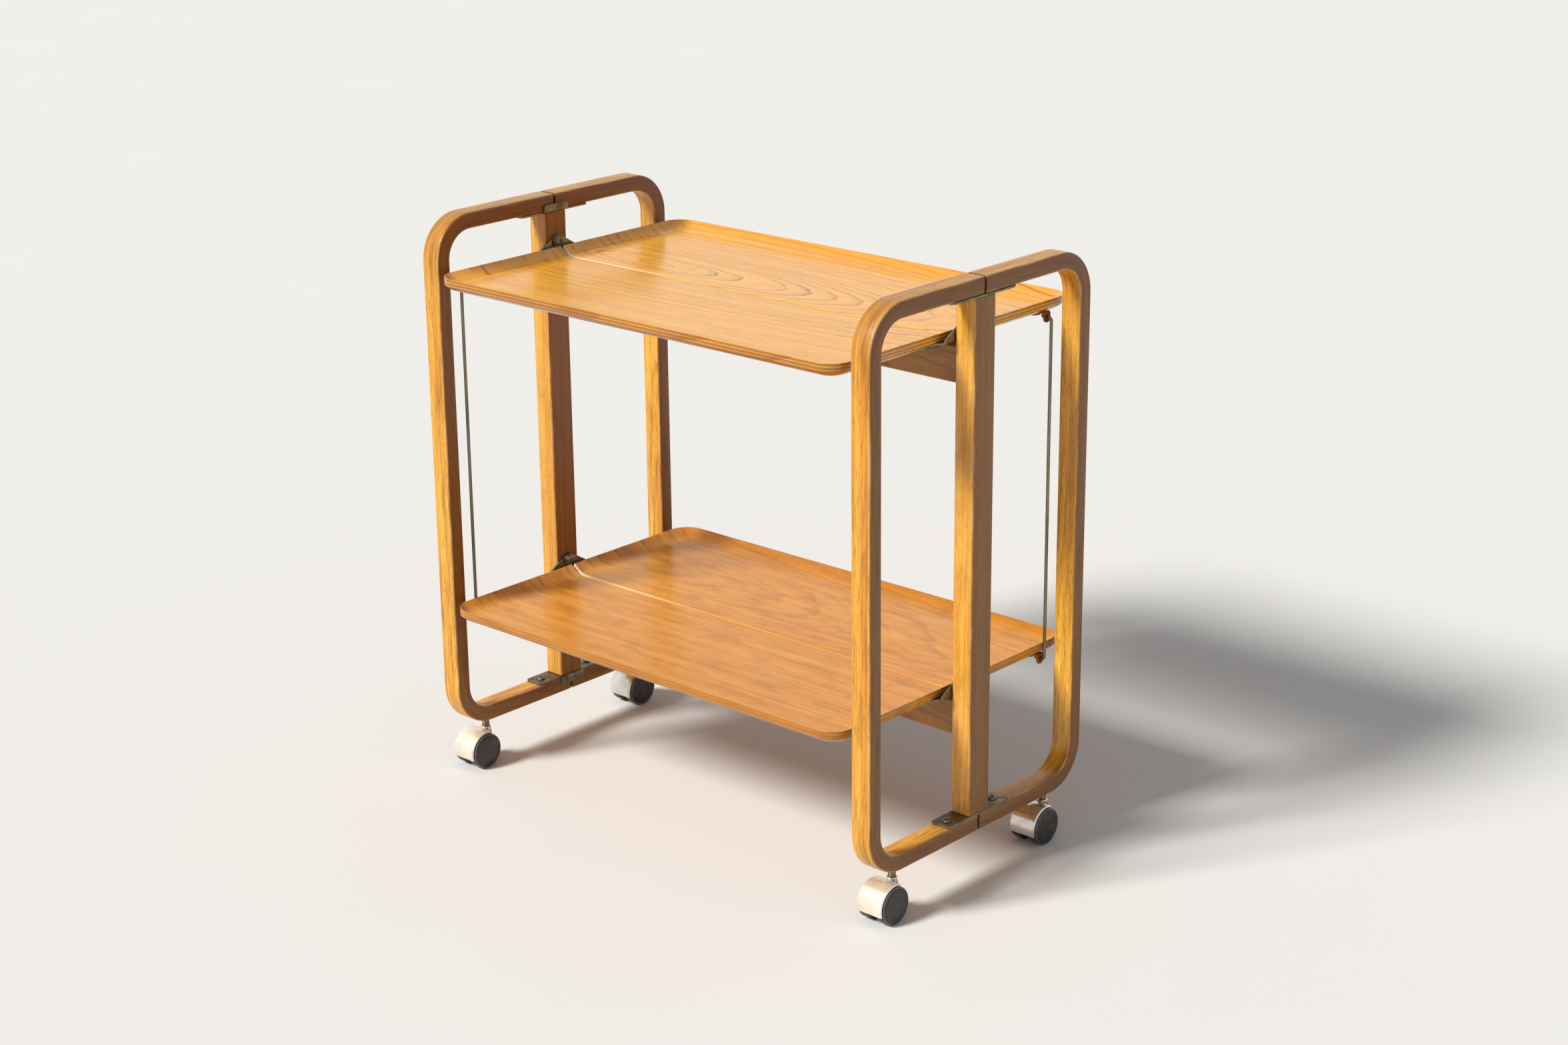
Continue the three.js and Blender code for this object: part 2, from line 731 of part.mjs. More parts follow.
function add(name, material, geometry) {
  const mesh = new THREE.Mesh(toGeometry(toSolid(geometry)), material);
  mesh.name = name;
  trolley.add(mesh);
}

const sides = [
  ["left", -1],
  ["right", 1],
];
const faces = [
  ["front", -1],
  ["rear", 1],
];

for (const [sideName, side] of sides) {
  add(`post_${sideName}`, solidWood, post(side));
  add(`hinge_plate_top_${sideName}`, bracketSteel, hingePlate(side, true));
  add(`hinge_plate_bottom_${sideName}`, bracketSteel, hingePlate(side, false));
  for (const [faceName, face] of faces) {
    const corner = `${sideName}_${faceName}`;
    const hingeX = side * frameX;
    const hingeY = face * frameHingeOffset;
    const stemY = face * stemOffset;
    add(`frame_half_${corner}`, bentWood, frameHalf(side, face));
    add(`hinge_screw_top_${corner}`, bracketSteel, hingeScrew(true).translate(hingeX, hingeY, 0));
    add(`hinge_screw_bottom_${corner}`, bracketSteel, hingeScrew(false).translate(hingeX, hingeY, 0));
    add(`caster_stem_${corner}`, bracketSteel, casterStem().translate(hingeX, stemY, 0));
    add(`caster_hood_${corner}`, chrome, casterHood().translate(hingeX, stemY, 0));
    add(`wheel_outer_${corner}`, wheelPlastic, wheel(side).translate(hingeX, stemY, 0));
    add(`wheel_inner_${corner}`, wheelPlastic, wheel(-side).translate(hingeX, stemY, 0));
  }
}

for (const [level, pivot] of Object.entries(pivots)) {
  add(`stretcher_${level}`, solidWood, stretcher(pivot));
  for (const [faceName, face] of faces) {
    add(`tray_${level}_${faceName}`, trayVeneer, trayHalf(face, pivot));
  }
  for (const [sideName, side] of sides) {
    add(`tray_bolt_${level}_${sideName}`, bracketSteel, trayBolt(side, pivot));
    add(`arm_${level}_${sideName}_front`, bracketSteel, arm(side, -1, armOuterX, pivot));
    add(`arm_${level}_${sideName}_rear`, bracketSteel, arm(side, 1, armMiddleX, pivot));
  }
  add(`rod_tab_${level}_front`, bracketSteel, rodTab(-1, -1, pivot));
  add(`rod_tab_${level}_rear`, bracketSteel, rodTab(1, 1, pivot));
}
add("link_rod_front", rodSteel, linkRod(-1, -1));
add("link_rod_rear", rodSteel, linkRod(1, 1));

export default trolley;
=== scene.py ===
import json
import math

import bmesh
import bpy
from mathutils import Matrix, Vector


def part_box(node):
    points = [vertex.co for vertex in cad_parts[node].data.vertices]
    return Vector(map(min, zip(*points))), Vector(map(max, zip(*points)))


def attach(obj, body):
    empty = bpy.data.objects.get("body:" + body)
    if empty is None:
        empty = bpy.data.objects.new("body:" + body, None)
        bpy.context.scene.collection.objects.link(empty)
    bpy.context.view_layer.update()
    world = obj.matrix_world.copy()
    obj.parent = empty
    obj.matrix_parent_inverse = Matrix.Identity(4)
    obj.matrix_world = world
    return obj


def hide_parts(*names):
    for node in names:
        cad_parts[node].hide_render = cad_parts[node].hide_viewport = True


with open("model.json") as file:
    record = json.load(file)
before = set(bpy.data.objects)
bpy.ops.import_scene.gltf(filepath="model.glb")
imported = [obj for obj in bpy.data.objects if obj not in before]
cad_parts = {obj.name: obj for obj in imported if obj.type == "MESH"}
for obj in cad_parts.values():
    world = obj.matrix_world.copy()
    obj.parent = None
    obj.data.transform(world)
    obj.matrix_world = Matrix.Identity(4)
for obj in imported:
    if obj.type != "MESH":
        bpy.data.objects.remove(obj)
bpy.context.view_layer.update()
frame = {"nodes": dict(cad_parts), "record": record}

# End frames: four C-shaped halves, each a stack of thin oak veneers glued and bent in a mould, then
# varnished to a warm amber. The veneers' edges show on both flanks as fine lines that follow the
# bend. Two screws hold each half to the hinge plates.

MM = 0.001
sides = {"left": -1, "right": 1}
faces = {"front": -1, "rear": 1}
body_of = {
    node: body
    for body, nodes in frame["record"]["behaviour"]["bodies"].items()
    for node in nodes
}


def add_node(tree, kind, links=None, **settings):
    """Adds a node with its settings. A socket given in links is linked, and any other value is set."""
    made = tree.nodes.new(kind)
    for name, value in settings.items():
        setattr(made, name, value)
    for socket, value in (links or {}).items():
        if isinstance(value, bpy.types.NodeSocket):
            tree.links.new(value, made.inputs[socket])
        else:
            made.inputs[socket].default_value = value
    return made


def linear(code):
    """Linear colour of an sRGB hex code, with full alpha."""
    shares = [int(code[i : i + 2], 16) / 255 for i in (1, 3, 5)]
    return [s / 12.92 if s <= 0.04045 else ((s + 0.055) / 1.055) ** 2.4 for s in shares] + [1.0]


def new_finish(name):
    """Material with nothing in its node tree, and that tree."""
    material = bpy.data.materials.new(name)
    material.use_nodes = True
    material.node_tree.nodes.clear()
    return material, material.node_tree


def wood_finish(
    name,
    pale,
    mid,
    dark,
    ring_mm,
    figure,
    blotches,
    coarse,
    bow=2.4,
    blotch_mm=(60, 22, 22),
    layer_mm=0,
    glue_share=0.2,
    half_size=None,
    cut_y=None,
    lip_at=None,
    scuff_at=None,
    end_y=None,
    flank_shade=0.0,
    pore_mm=(7, 0.5, 0.5),
    pore="#6b3c16",
    wear_and_highlight=0.8,
    worn_and_highlight="#e4b488",
    roughness=0.32,
    coat=0.1,
):
    """Varnished wood. It reads two attributes of the piece: grain, with x along the fibres, y across
    them and z through the layers, and log, the same place measured from the middle of the tree."""
    material, tree = new_finish(name)
    grain, log = [
        add_node(tree, "ShaderNodeAttribute", attribute_name=source).outputs["Vector"]
        for source in ("grain", "log")
    ]
    # sizes along the grain, across it and through it; fibres are drawn as bundles 0.9 mm wide, because
    # single ones are too fine to show
    patches = {}
    for pattern, size_mm, detail in (
        ("bow", (420, 80, 80), 2.0),
        ("comb", (110, 8, 8), 2.0),
        ("streak", (600, 15, 15), 4.0),
        ("blotch", blotch_mm, 4.0),
        ("fibre", (60, 0.9, 0.9), 2.0),
        ("pore", pore_mm, 1.0),
        ("rub_and_highlight", (55, 16, 16), 4.0),
        ("tick", (60, 11, 11), 2.0),
    ):
        stretched = add_node(
            tree,
            "ShaderNodeMapping",
            {"Vector": grain, "Scale": [1 / (size * MM) for size in size_mm]},
        ).outputs[0]
        patches[pattern] = add_node(
            tree,
            "ShaderNodeTexNoise",
            {"Vector": stretched, "Scale": 1.0, "Detail": detail, "Roughness": 0.6},
        ).outputs

    # growth rings, counted from the middle of the tree; a bow bends them and the fibres comb them
    place, comb = log, 0.5
    for pattern, reach in (("bow", bow), ("comb", comb)):
        place = add_node(
            tree,
            "ShaderNodeVectorMath",
            {
                0: patches[pattern]["Color"],
                1: (0, reach * ring_mm * MM, reach * ring_mm * MM),
                2: place,
            },
            operation="MULTIPLY_ADD",
        ).outputs[0]
    flat = add_node(
        tree,
        "ShaderNodeVectorMath",
        {0: place, 1: (0, 1 / (ring_mm * MM), 1 / (ring_mm * MM))},
        operation="MULTIPLY",
    ).outputs[0]
    count = add_node(tree, "ShaderNodeVectorMath", {0: flat}, operation="LENGTH").outputs["Value"]
    ring = add_node(tree, "ShaderNodeMath", {0: count}, operation="FLOOR").outputs[0]
    within = add_node(tree, "ShaderNodeMath", {0: count}, operation="FRACT").outputs[0]
    late = add_node(tree, "ShaderNodeValToRGB", {"Fac": within})
    late.color_ramp.elements[0].color = late.color_ramp.elements[1].color = (0, 0, 0, 1)
    for position, tone in ((0.5, 0.08), (0.77, 0.32), (0.88, 0.88), (0.95, 0.78)):
        late.color_ramp.elements.new(position).color = (tone, tone, tone, 1)
    own_strength = add_node(tree, "ShaderNodeTexWhiteNoise", {"W": ring}, noise_dimensions="1D")

    # where a point lies along the piece, and how far off its middle along, across and through it
    split = add_node(tree, "ShaderNodeSeparateXYZ", {0: grain}).outputs
    along = add_node(tree, "ShaderNodeSeparateXYZ", {0: log}).outputs[0]
    off_along, off_across, off_through = [
        add_node(tree, "ShaderNodeMath", {0: value}, operation="ABSOLUTE").outputs[0]
        for value in (along, split[1], split[2])
    ]

    # the colours laid over the pale wood in turn; what each share follows, as a value, its low and
    # high, and the share at each; and which shares show only where another one does. A high that is
    # a name stands for the share of that name.
    layers = [("streak", mid), ("blotch", dark), ("ring", dark), ("pore", pore)]
    follows = {
        "streak": (patches["streak"]["Fac"], 0.3, 0.7, 0.0, 1.0),
        "ring": (own_strength.outputs["Value"], 0.0, 1.0, 0.15 * figure, figure),
        "blotch": (patches["blotch"]["Fac"], 0.46, 0.72, 0.0, blotches),
        "fibre": (patches["fibre"]["Fac"], 0.25, 0.75, 1.0 - coarse, 1.0 + coarse),
        "pore": (patches["pore"]["Fac"], 0.57, 0.7, 0.0, 3 * coarse),
        "rub_and_highlight": (patches["rub_and_highlight"]["Fac"], 0.46, 0.66, 0.05, wear_and_highlight),
        "gloss": (patches["rub_and_highlight"]["Fac"], 0.3, 0.7, roughness - 0.05, roughness + 0.12),
    }
    masks = [("ring", "late")]
    shares = {"late": late.outputs[0]}

    # across the end lips the bent face veneer is pinched into short dark ticks, and painted shade
    # darkens the long lips from their bend outwards
    if lip_at:
        lip_fade = 0.012
        shares["face_sheet"] = add_node(
            tree, "ShaderNodeMath", {0: split[2], 1: layer_mm * MM}, operation="LESS_THAN"
        ).outputs[0]
        follows |= {
            "on_end_lip": (off_along, lip_at[0], lip_at[0] + lip_fade, 0.0, 1.0),
            "off_end_lip": (off_along, lip_at[0], lip_at[0] + lip_fade, 1.0, 0.0),
            "tick": (patches["tick"]["Fac"], 0.54, 0.66, 0.0, 0.6),
            # painted shade on the long lips
            "lip_shade": (off_across, lip_at[1], lip_at[1] + lip_fade, 0.0, 0.28),
        }
        masks += [("tick", "on_end_lip"), ("tick", "face_sheet"), ("ring", "off_end_lip")]
        layers += [("tick", dark), ("lip_shade", dark)]

    # where the layers are cut through, the glue shows as dark lines, and every second sheet is darker
    glue_line, crossed = "#3a1c0c", 0.7
    if layer_mm:
        depth = add_node(
            tree, "ShaderNodeMath", {0: split[2], 1: layer_mm * MM}, operation="DIVIDE"
        ).outputs[0]
        sheet = add_node(tree, "ShaderNodeMath", {0: depth}, operation="FLOOR").outputs[0]
        every_second, near_glue = [
            add_node(tree, "ShaderNodeMath", {0: value, 1: reach}, operation="PINGPONG").outputs[0]
            for value, reach in ((sheet, 1.0), (depth, 0.5))
        ]
        follows |= {
            "sheet": (every_second, 0.0, 1.0, 0.0, glue_share * crossed),
            "glue": (near_glue, 0.0, 0.2, glue_share, 0.0),
        }
        layers += [("sheet", dark), ("glue", glue_line)]

    # painted shade darkens the top rails, and the ends of the halves drank the most varnish
    if end_y:
        top_shade_from, top_shade_full = 0.68, 0.785
        own_place = add_node(tree, "ShaderNodeTexCoord").outputs["Object"]
        own_place = add_node(tree, "ShaderNodeSeparateXYZ", {0: own_place}).outputs
        to_end = add_node(tree, "ShaderNodeMath", {0: own_place[1]}, operation="ABSOLUTE").outputs[0]
        follows |= {
            # painted shade on the top rails
            "top_rail_shade": (own_place[2], top_shade_from, top_shade_full, 0.0, 0.4),
            "end": (to_end, end_y + 0.0002, end_y + 0.0016, 0.9, 0.0),
        }
        layers += [("top_rail_shade", dark), ("end", glue_line)]

    # pale long edges of a bar, partly worn varnish where hands rub and partly a painted highlight;
    # its flanks are darkened as painted shade
    pale_edge_full, pale_edge_reach = 0.0005, 0.0028
    if half_size:
        flank_shade_colour, flank_shade_depth = "#673512", 0.0018
        edges = [
            add_node(tree, "ShaderNodeMath", {0: half, 1: off}, operation="SUBTRACT").outputs[0]
            for half, off in zip(half_size, (off_across, off_through))
        ]
        inward = add_node(
            tree, "ShaderNodeMath", {0: edges[0], 1: edges[1]}, operation="MAXIMUM"
        ).outputs[0]
        # painted shade on the flanks of the bar
        follows["flank_shade"] = (edges[0], 0.0, flank_shade_depth, flank_shade, 0.0)
        layers.append(("flank_shade", flank_shade_colour))

    # a saw cut is pale along its edges, partly worn and partly a painted highlight, most and widest at
    # the left end, where it climbs the lip
    if cut_y:
        lip_foot, wide_to, pale_edge_to, wide_reach = -0.32, -0.3, -0.1, 0.0048
        inward = add_node(
            tree, "ShaderNodeMath", {0: off_across, 1: cut_y}, operation="SUBTRACT"
        ).outputs[0]
        follows["rub_and_highlight"] = (along, lip_foot, pale_edge_to, 1.0, wear_and_highlight / 6)
        follows["reach"] = (along, lip_foot, wide_to, wide_reach, pale_edge_reach)
        pale_edge_reach = "reach"
    # the pale edges: partly worn varnish, partly a painted highlight
    follows["worn_and_highlight"] = (inward, pale_edge_full, pale_edge_reach, 1.0, 0.0)
    masks.append(("worn_and_highlight", "rub_and_highlight"))
    layers.append(("worn_and_highlight", worn_and_highlight))

    # a whitish scuff where something stood on the varnish: its middle along and across the grain
    if scuff_at:
        bloom, scuffs_per_metre = "#efdcb8", (22, 45, 0)
        away = add_node(
            tree, "ShaderNodeVectorMath", {0: grain, 1: scuff_at}, operation="SUBTRACT"
        ).outputs[0]
        away = add_node(
            tree, "ShaderNodeVectorMath", {0: away, 1: scuffs_per_metre}, operation="MULTIPLY"
        ).outputs[0]
        away = add_node(tree, "ShaderNodeVectorMath", {0: away}, operation="LENGTH").outputs["Value"]
        follows["scuff"] = (away, 0.4, 1.0, 0.9, 0.0)
        masks.append(("scuff", "rub_and_highlight"))
        layers.append(("scuff", bloom))

    for use, (value, low, high, least, most) in follows.items():
        high = shares.get(high, high)
        shares[use] = add_node(
            tree,
            "ShaderNodeMapRange",
            {"Value": value, "From Min": low, "From Max": high, "To Min": least, "To Max": most},
        ).outputs[0]
    for use, mask in masks:
        shares[use] = add_node(
            tree, "ShaderNodeMath", {0: shares[use], 1: shares[mask]}, operation="MULTIPLY"
        ).outputs[0]

    colour = linear(pale)
    for use, code in layers:
        colour = add_node(
            tree,
            "ShaderNodeMix",
            {0: shares[use], 6: colour, 7: linear(code)},
            data_type="RGBA",
        ).outputs[2]
    colour = add_node(
        tree, "ShaderNodeVectorMath", {0: colour, "Scale": shares["fibre"]}, operation="SCALE"
    ).outputs[0]
    height = add_node(
        tree, "ShaderNodeMath", {0: patches["fibre"]["Fac"], 1: shares["pore"]}, operation="SUBTRACT"
    ).outputs[0]
    relief = add_node(
        tree, "ShaderNodeBump", {"Height": height, "Strength": 0.16, "Distance": 0.0003}
    ).outputs[0]
    shader = add_node(
        tree,
        "ShaderNodeBsdfPrincipled",
        {
            "Base Color": colour,
            "Roughness": shares["gloss"],
            "Normal": relief,
            "IOR": 1.42,
            "Coat Weight": coat,
            "Coat Roughness": 0.16,
        },
    )
    add_node(tree, "ShaderNodeOutputMaterial", {"Surface": shader.outputs[0]})
    return material


def new_maker_tree(name, inputs):
    """Geometry tree with an input for each size. It comes with their identifiers and their sockets."""
    tree = bpy.data.node_groups.new(name, "GeometryNodeTree")
    names = {
        label: tree.interface.new_socket(label, in_out="INPUT", socket_type=kind).identifier
        for label, kind in inputs
    }
    tree.interface.new_socket("Geometry", in_out="OUTPUT", socket_type="NodeSocketGeometry")
    return tree, names, add_node(tree, "NodeGroupInput").outputs


def section_tree():
    """Geometry tree that rounds the corners of a line and runs a section with eased edges along it."""
    tree, names, given = new_maker_tree(
        "section_along_line",
        (
            ("Geometry", "NodeSocketGeometry"),
            ("Bend Radius", "NodeSocketFloat"),
            ("Bend Steps", "NodeSocketInt"),
            ("Side", "NodeSocketVector"),
            ("Width", "NodeSocketFloat"),
            ("Thickness", "NodeSocketFloat"),
            ("Edge Radius", "NodeSocketFloat"),
            ("Grain Start", "NodeSocketFloat"),
            ("Log Place", "NodeSocketVector"),
            ("Log Slope", "NodeSocketVector"),
            ("Finish", "NodeSocketMaterial"),
        ),
    )
    line = add_node(tree, "GeometryNodeMeshToCurve", {0: given["Geometry"]}).outputs[0]
    bent = add_node(
        tree,
        "GeometryNodeFilletCurve",
        {"Curve": line, "Count": given["Bend Steps"], "Radius": given["Bend Radius"]},
        mode="POLY",
    ).outputs[0]
    turned = add_node(
        tree, "GeometryNodeSetCurveNormal", {"Curve": bent, "Normal": given["Side"]}, mode="FREE"
    ).outputs[0]
    along = add_node(tree, "GeometryNodeCaptureAttribute", {0: turned}, domain="POINT")
    along.capture_items.new("FLOAT", "along")
    tree.links.new(add_node(tree, "GeometryNodeSplineParameter").outputs["Length"], along.inputs[1])
    rectangle = add_node(
        tree,
        "GeometryNodeCurvePrimitiveQuadrilateral",
        {"Width": given["Width"], "Height": given["Thickness"]},
    ).outputs[0]
    eased = add_node(
        tree,
        "GeometryNodeFilletCurve",
        {"Curve": rectangle, "Count": 5, "Radius": given["Edge Radius"]},
        mode="POLY",
    ).outputs[0]
    across = add_node(tree, "GeometryNodeCaptureAttribute", {0: eased}, domain="POINT")
    across.capture_items.new("VECTOR", "across")
    tree.links.new(add_node(tree, "GeometryNodeInputPosition").outputs[0], across.inputs[1])
    skin = add_node(
        tree,
        "GeometryNodeCurveToMesh",
        {"Curve": along.outputs[0], "Profile Curve": across.outputs[0], "Fill Caps": True},
    ).outputs[0]
    place = add_node(tree, "ShaderNodeSeparateXYZ", {0: across.outputs[1]}).outputs
    start = add_node(
        tree, "ShaderNodeMath", {0: along.outputs[1], 1: given["Grain Start"]}, operation="ADD"
    ).outputs[0]
    own = add_node(tree, "ShaderNodeCombineXYZ", {0: start, 1: place[0], 2: place[1]}).outputs[0]
    drift = add_node(
        tree,
        "ShaderNodeVectorMath",
        {0: along.outputs[1], 1: given["Log Slope"], 2: given["Log Place"]},
        operation="MULTIPLY_ADD",
    ).outputs[0]
    from_log = add_node(tree, "ShaderNodeVectorMath", {0: own, 1: drift}, operation="ADD").outputs[0]
    for name, value in (("grain", own), ("log", from_log)):
        skin = add_node(
            tree,
            "GeometryNodeStoreNamedAttribute",
            {"Geometry": skin, "Name": name, "Value": value},
            data_type="FLOAT_VECTOR",
            domain="POINT",
        ).outputs[0]
    whole = add_node(tree, "GeometryNodeRealizeInstances", {0: skin}).outputs[0]
    finished = add_node(
        tree, "GeometryNodeSetMaterial", {"Geometry": whole, "Material": given["Finish"]}
    ).outputs[0]
    add_node(tree, "NodeGroupOutput", {0: finished})
    return tree, names


def settle(name, mesh, sharp=40):
    """Object at the origin for a finished mesh, smooth apart from its sharp edges."""
    mesh.name = name
    for polygon in mesh.polygons:
        polygon.use_smooth = True
    mesh.set_sharp_from_angle(angle=math.radians(sharp))
    piece = bpy.data.objects.new(name, mesh)
    bpy.context.scene.collection.objects.link(piece)
    return piece


def made_mesh(guide, tree, names, inputs):
    """Plain mesh that a geometry tree makes of its guide."""
    maker = bpy.data.objects.new(guide.name + "_maker", guide)
    bpy.context.scene.collection.objects.link(maker)
    modifier = maker.modifiers.new("make", "NODES")
    modifier.node_group = tree
    for label, value in inputs.items():
        modifier[names[label.replace("_", " ")]] = value
    bpy.context.view_layer.update()
    ready = maker.evaluated_get(bpy.context.evaluated_depsgraph_get())
    mesh = bpy.data.meshes.new_from_object(ready)
    maker.modifiers.remove(modifier)
    bpy.data.objects.remove(maker)
    return mesh


def face_outwards(mesh, merge=None):
    """Turns the faces of a closed mesh outwards, after merging points that lie that close."""
    work = bmesh.new()
    work.from_mesh(mesh)
    if merge:
        bmesh.ops.remove_doubles(work, verts=work.verts, dist=merge)
    bmesh.ops.recalc_face_normals(work, faces=work.faces)
    work.to_mesh(mesh)
    work.free()


def section_piece(name, line, **inputs):
    """Piece whose section runs along a line of points."""
    guide = bpy.data.meshes.new(name + "_line")
    guide.from_pydata(line, [(i, i + 1) for i in range(len(line) - 1)], [])
    mesh = made_mesh(guide, section, section_inputs, inputs)
    face_outwards(mesh)
    return settle(name, mesh)


def soften(piece, width, angle=50, segments=3):
    """Rounds the sharp edges, as sandpaper or a tumbler leaves them."""
    bevel = piece.modifiers.new("soften", "BEVEL")
    bevel.width = width
    bevel.segments = segments
    bevel.limit_method = "ANGLE"
    bevel.angle_limit = math.radians(angle)


section, section_inputs = section_tree()
low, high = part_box("frame_half_right_rear")
frame_x, strip_width = (low.x + high.x) / 2, high.x - low.x
half_gap, frame_half_depth, frame_bottom, frame_top = low.y, high.y, low.z, high.z
strip_thickness, outer_bend = 0.022, 0.060
# Oak veneers bent and varnished: amber faces with long brown pores under a soft sheen, and dark
# flanks, which are painted shade. Real pores are 0.3 mm wide: these are drawn four times as coarse,
# so that they show.
bent_oak = wood_finish(
    "oak_bent_laminated_varnished",
    pale="#fcc74a",
    mid="#dc9028",
    dark="#7d401a",
    ring_mm=6,
    figure=0.5,
    blotches=0.62,
    blotch_mm=(90, 8, 8),
    coarse=0.21,
    pore_mm=(17, 1.3, 1.3),
    pore="#94501a",
    layer_mm=1.91,
    glue_share=0.25,
    end_y=half_gap,
    flank_shade=0.8,
    half_size=(strip_width / 2, strip_thickness / 2),
)
# each half has its own stretch of veneer: where its grain starts, and its place in the log
for side_name, side in sides.items():
    for face_name, face in faces.items():
        corner = f"{side_name}_{face_name}"
        middle_y = face * (frame_half_depth - strip_thickness / 2)
        top_z = frame_top - strip_thickness / 2
        bottom_z = frame_bottom + strip_thickness / 2
        strip = section_piece(
            f"bent_half_{corner}",
            [
                (side * frame_x, face * half_gap, top_z),
                (side * frame_x, middle_y, top_z),
                (side * frame_x, middle_y, bottom_z),
                (side * frame_x, face * half_gap, bottom_z),
            ],
            Bend_Radius=outer_bend - strip_thickness / 2,
            Bend_Steps=18,
            Side=(1.0, 0.0, 0.0),
            Width=strip_width,
            Thickness=strip_thickness,
            Edge_Radius=0.0026,
            Grain_Start=1.7 * side + 0.9 * face,
            Log_Place=(0, 0.025 * side, 0.018 * face),
            Log_Slope=(0, 0.012 * face, 0.03 * side),
            Finish=bent_oak,
        )
        soften(strip, width=0.0016)
        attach(strip, body_of[f"frame_half_{corner}"])
        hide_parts(f"frame_half_{corner}")

# Posts and stretchers: planed and sanded bars of solid oak with eased edges, varnished like the
# frames. The stretchers' tenons are glued into mortises in the posts.

low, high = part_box("post_right")
post_width, post_depth, post_foot, post_top = high.x - low.x, high.y - low.y, low.z, high.z
low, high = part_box("stretcher_upper")
stretcher_width, stretcher_height = high.y - low.y, high.z - low.z
shoulder_gap = 0.0003
stretcher_end = frame_x - post_width / 2 - shoulder_gap
# Planed oak under varnish: browner than the veneers, with growth rings on the broad faces and finer,
# shorter pores, drawn nearly three times as coarse as real ones. The flanks of posts and stretchers
# are darkened as painted shade.
solid_oak = {
    use: wood_finish(
        f"oak_solid_planed_varnished_{use}",
        pale="#ecb348",
        mid="#d19035",
        dark="#7d441a",
        flank_shade=flank_shade,
        pore_mm=(12, 0.8, 0.8),
        pore="#7f4417",
        coarse=0.18,
        ring_mm=5,
        figure=0.8,
        blotches=0.25,
        half_size=half_size,
    )
    for use, flank_shade, half_size in (
        ("posts", 0.75, (post_width / 2, post_depth / 2)),
        ("stretchers", 0.6, (stretcher_width / 2, stretcher_height / 2)),
    )
}
for side_name, side in sides.items():
    bar = section_piece(
        f"post_bar_{side_name}",
        [(side * frame_x, 0, post_top), (side * frame_x, 0, post_foot)],
        Bend_Radius=0.0,
        Bend_Steps=1,
        Side=(1.0, 0.0, 0.0),
        Width=post_width,
        Thickness=post_depth,
        Edge_Radius=0.0022,
        Grain_Start=3.1 + side,
        Log_Place=(0, 0.05, 0.06 * side),
        Log_Slope=(0, 0.01, 0.014),
        Finish=solid_oak["posts"],
    )
    soften(bar, width=0.0008)
    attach(bar, body_of[f"post_{side_name}"])
    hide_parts(f"post_{side_name}")

for index, level in enumerate(("upper", "lower")):
    low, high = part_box(f"stretcher_{level}")
    middle_z = (low.z + high.z) / 2
    bar = section_piece(
        f"stretcher_bar_{level}",
        [(-stretcher_end, 0, middle_z), (stretcher_end, 0, middle_z)],
        Bend_Radius=0.0,
        Bend_Steps=1,
        Side=(0.0, 1.0, 0.0),
        Width=stretcher_width,
        Thickness=stretcher_height,
        Edge_Radius=0.0022,
        Grain_Start=6.3 + 2 * index,
        Log_Place=(0, 0.012, 0.004),
        Log_Slope=(0, 0.05, 0.01),
        Finish=solid_oak["stretchers"],
    )
    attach(bar, body_of[f"stretcher_{level}"])
    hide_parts(f"stretcher_{level}")

# Trays: dishes of moulded plywood with a face veneer that runs along the trolley, sawn in two along
# the middle and varnished all over. The plies show on the trimmed rim and on the sawn edges.

# the height of each tray's two bolts, about which its halves fold
tray_levels = {
    level: sum(corner.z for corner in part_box(f"tray_bolt_{level}_right")) / 2
    for level in ("upper", "lower")
}
low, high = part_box("tray_upper_rear")
tray_end, tray_side, saw_gap, plan_radius = high.x, high.y, low.y, 0.030
ply, lip_bend, lip_slope = 0.008, 0.026, math.radians(42)
rim_drop, lip_height = tray_levels["upper"] - high.z, high.z - low.z - ply
floor_drop, floor_edge = rim_drop + lip_height, 0.003
corner_steps, lip_steps = 10, 12
lip_run = lip_bend * math.sin(lip_slope) + (
    lip_height - lip_bend * (1 - math.cos(lip_slope))
) / math.tan(lip_slope)
# one sheet of veneer runs over both halves: where its grain starts, where the middle of the tree
# lies, and how steeply the sheet was cut from it
tray_veneers = {
    "upper": (0.35, (-0.055, 0.034), 0.2),
    "lower": (4.90, (-0.120, 0.075), 0.12),
}
scuff_x, scuff_y = 0.176, 0.179
sawn_dish = {
    "layer_mm": ply / MM / 5,
    "cut_y": saw_gap,
    "lip_at": (tray_end - lip_run, tray_side - lip_run),
    # the pale colour along the saw cut is partly worn varnish, partly a painted highlight
    "worn_and_highlight": "#f2d3a4",
}
# Moulded plywood faced with sliced oak. The upper dish kept its gloss, so the arched figure glows
# under a clear coat. The lower one is redder and duller, with a pale scuff in its rear half.
tray_finishes = {
    "upper": wood_finish(
        "moulded_plywood_oak_veneer_glossy",
        pale="#ffbe46",
        mid="#f7a938",
        dark="#8f4a12",
        coarse=0.045,
        ring_mm=8,
        bow=1.6,
        figure=1.0,
        blotches=0.15,
        glue_share=0.85,
        roughness=0.25,
        coat=0.35,
        **sawn_dish,
    ),
    "lower": wood_finish(
        "moulded_plywood_oak_veneer_scuffed",
        pale="#eaa53e",
        mid="#d5882c",
        dark="#945219",
        coarse=0.05,
        wear_and_highlight=0.7,
        scuff_at=(tray_veneers["lower"][0] + scuff_x, scuff_y, 0),
        ring_mm=9,
        bow=3.4,
        figure=0.42,
        blotches=0.38,
        glue_share=0.5,
        roughness=0.33,
        coat=0.2,
        **sawn_dish,
    ),
}


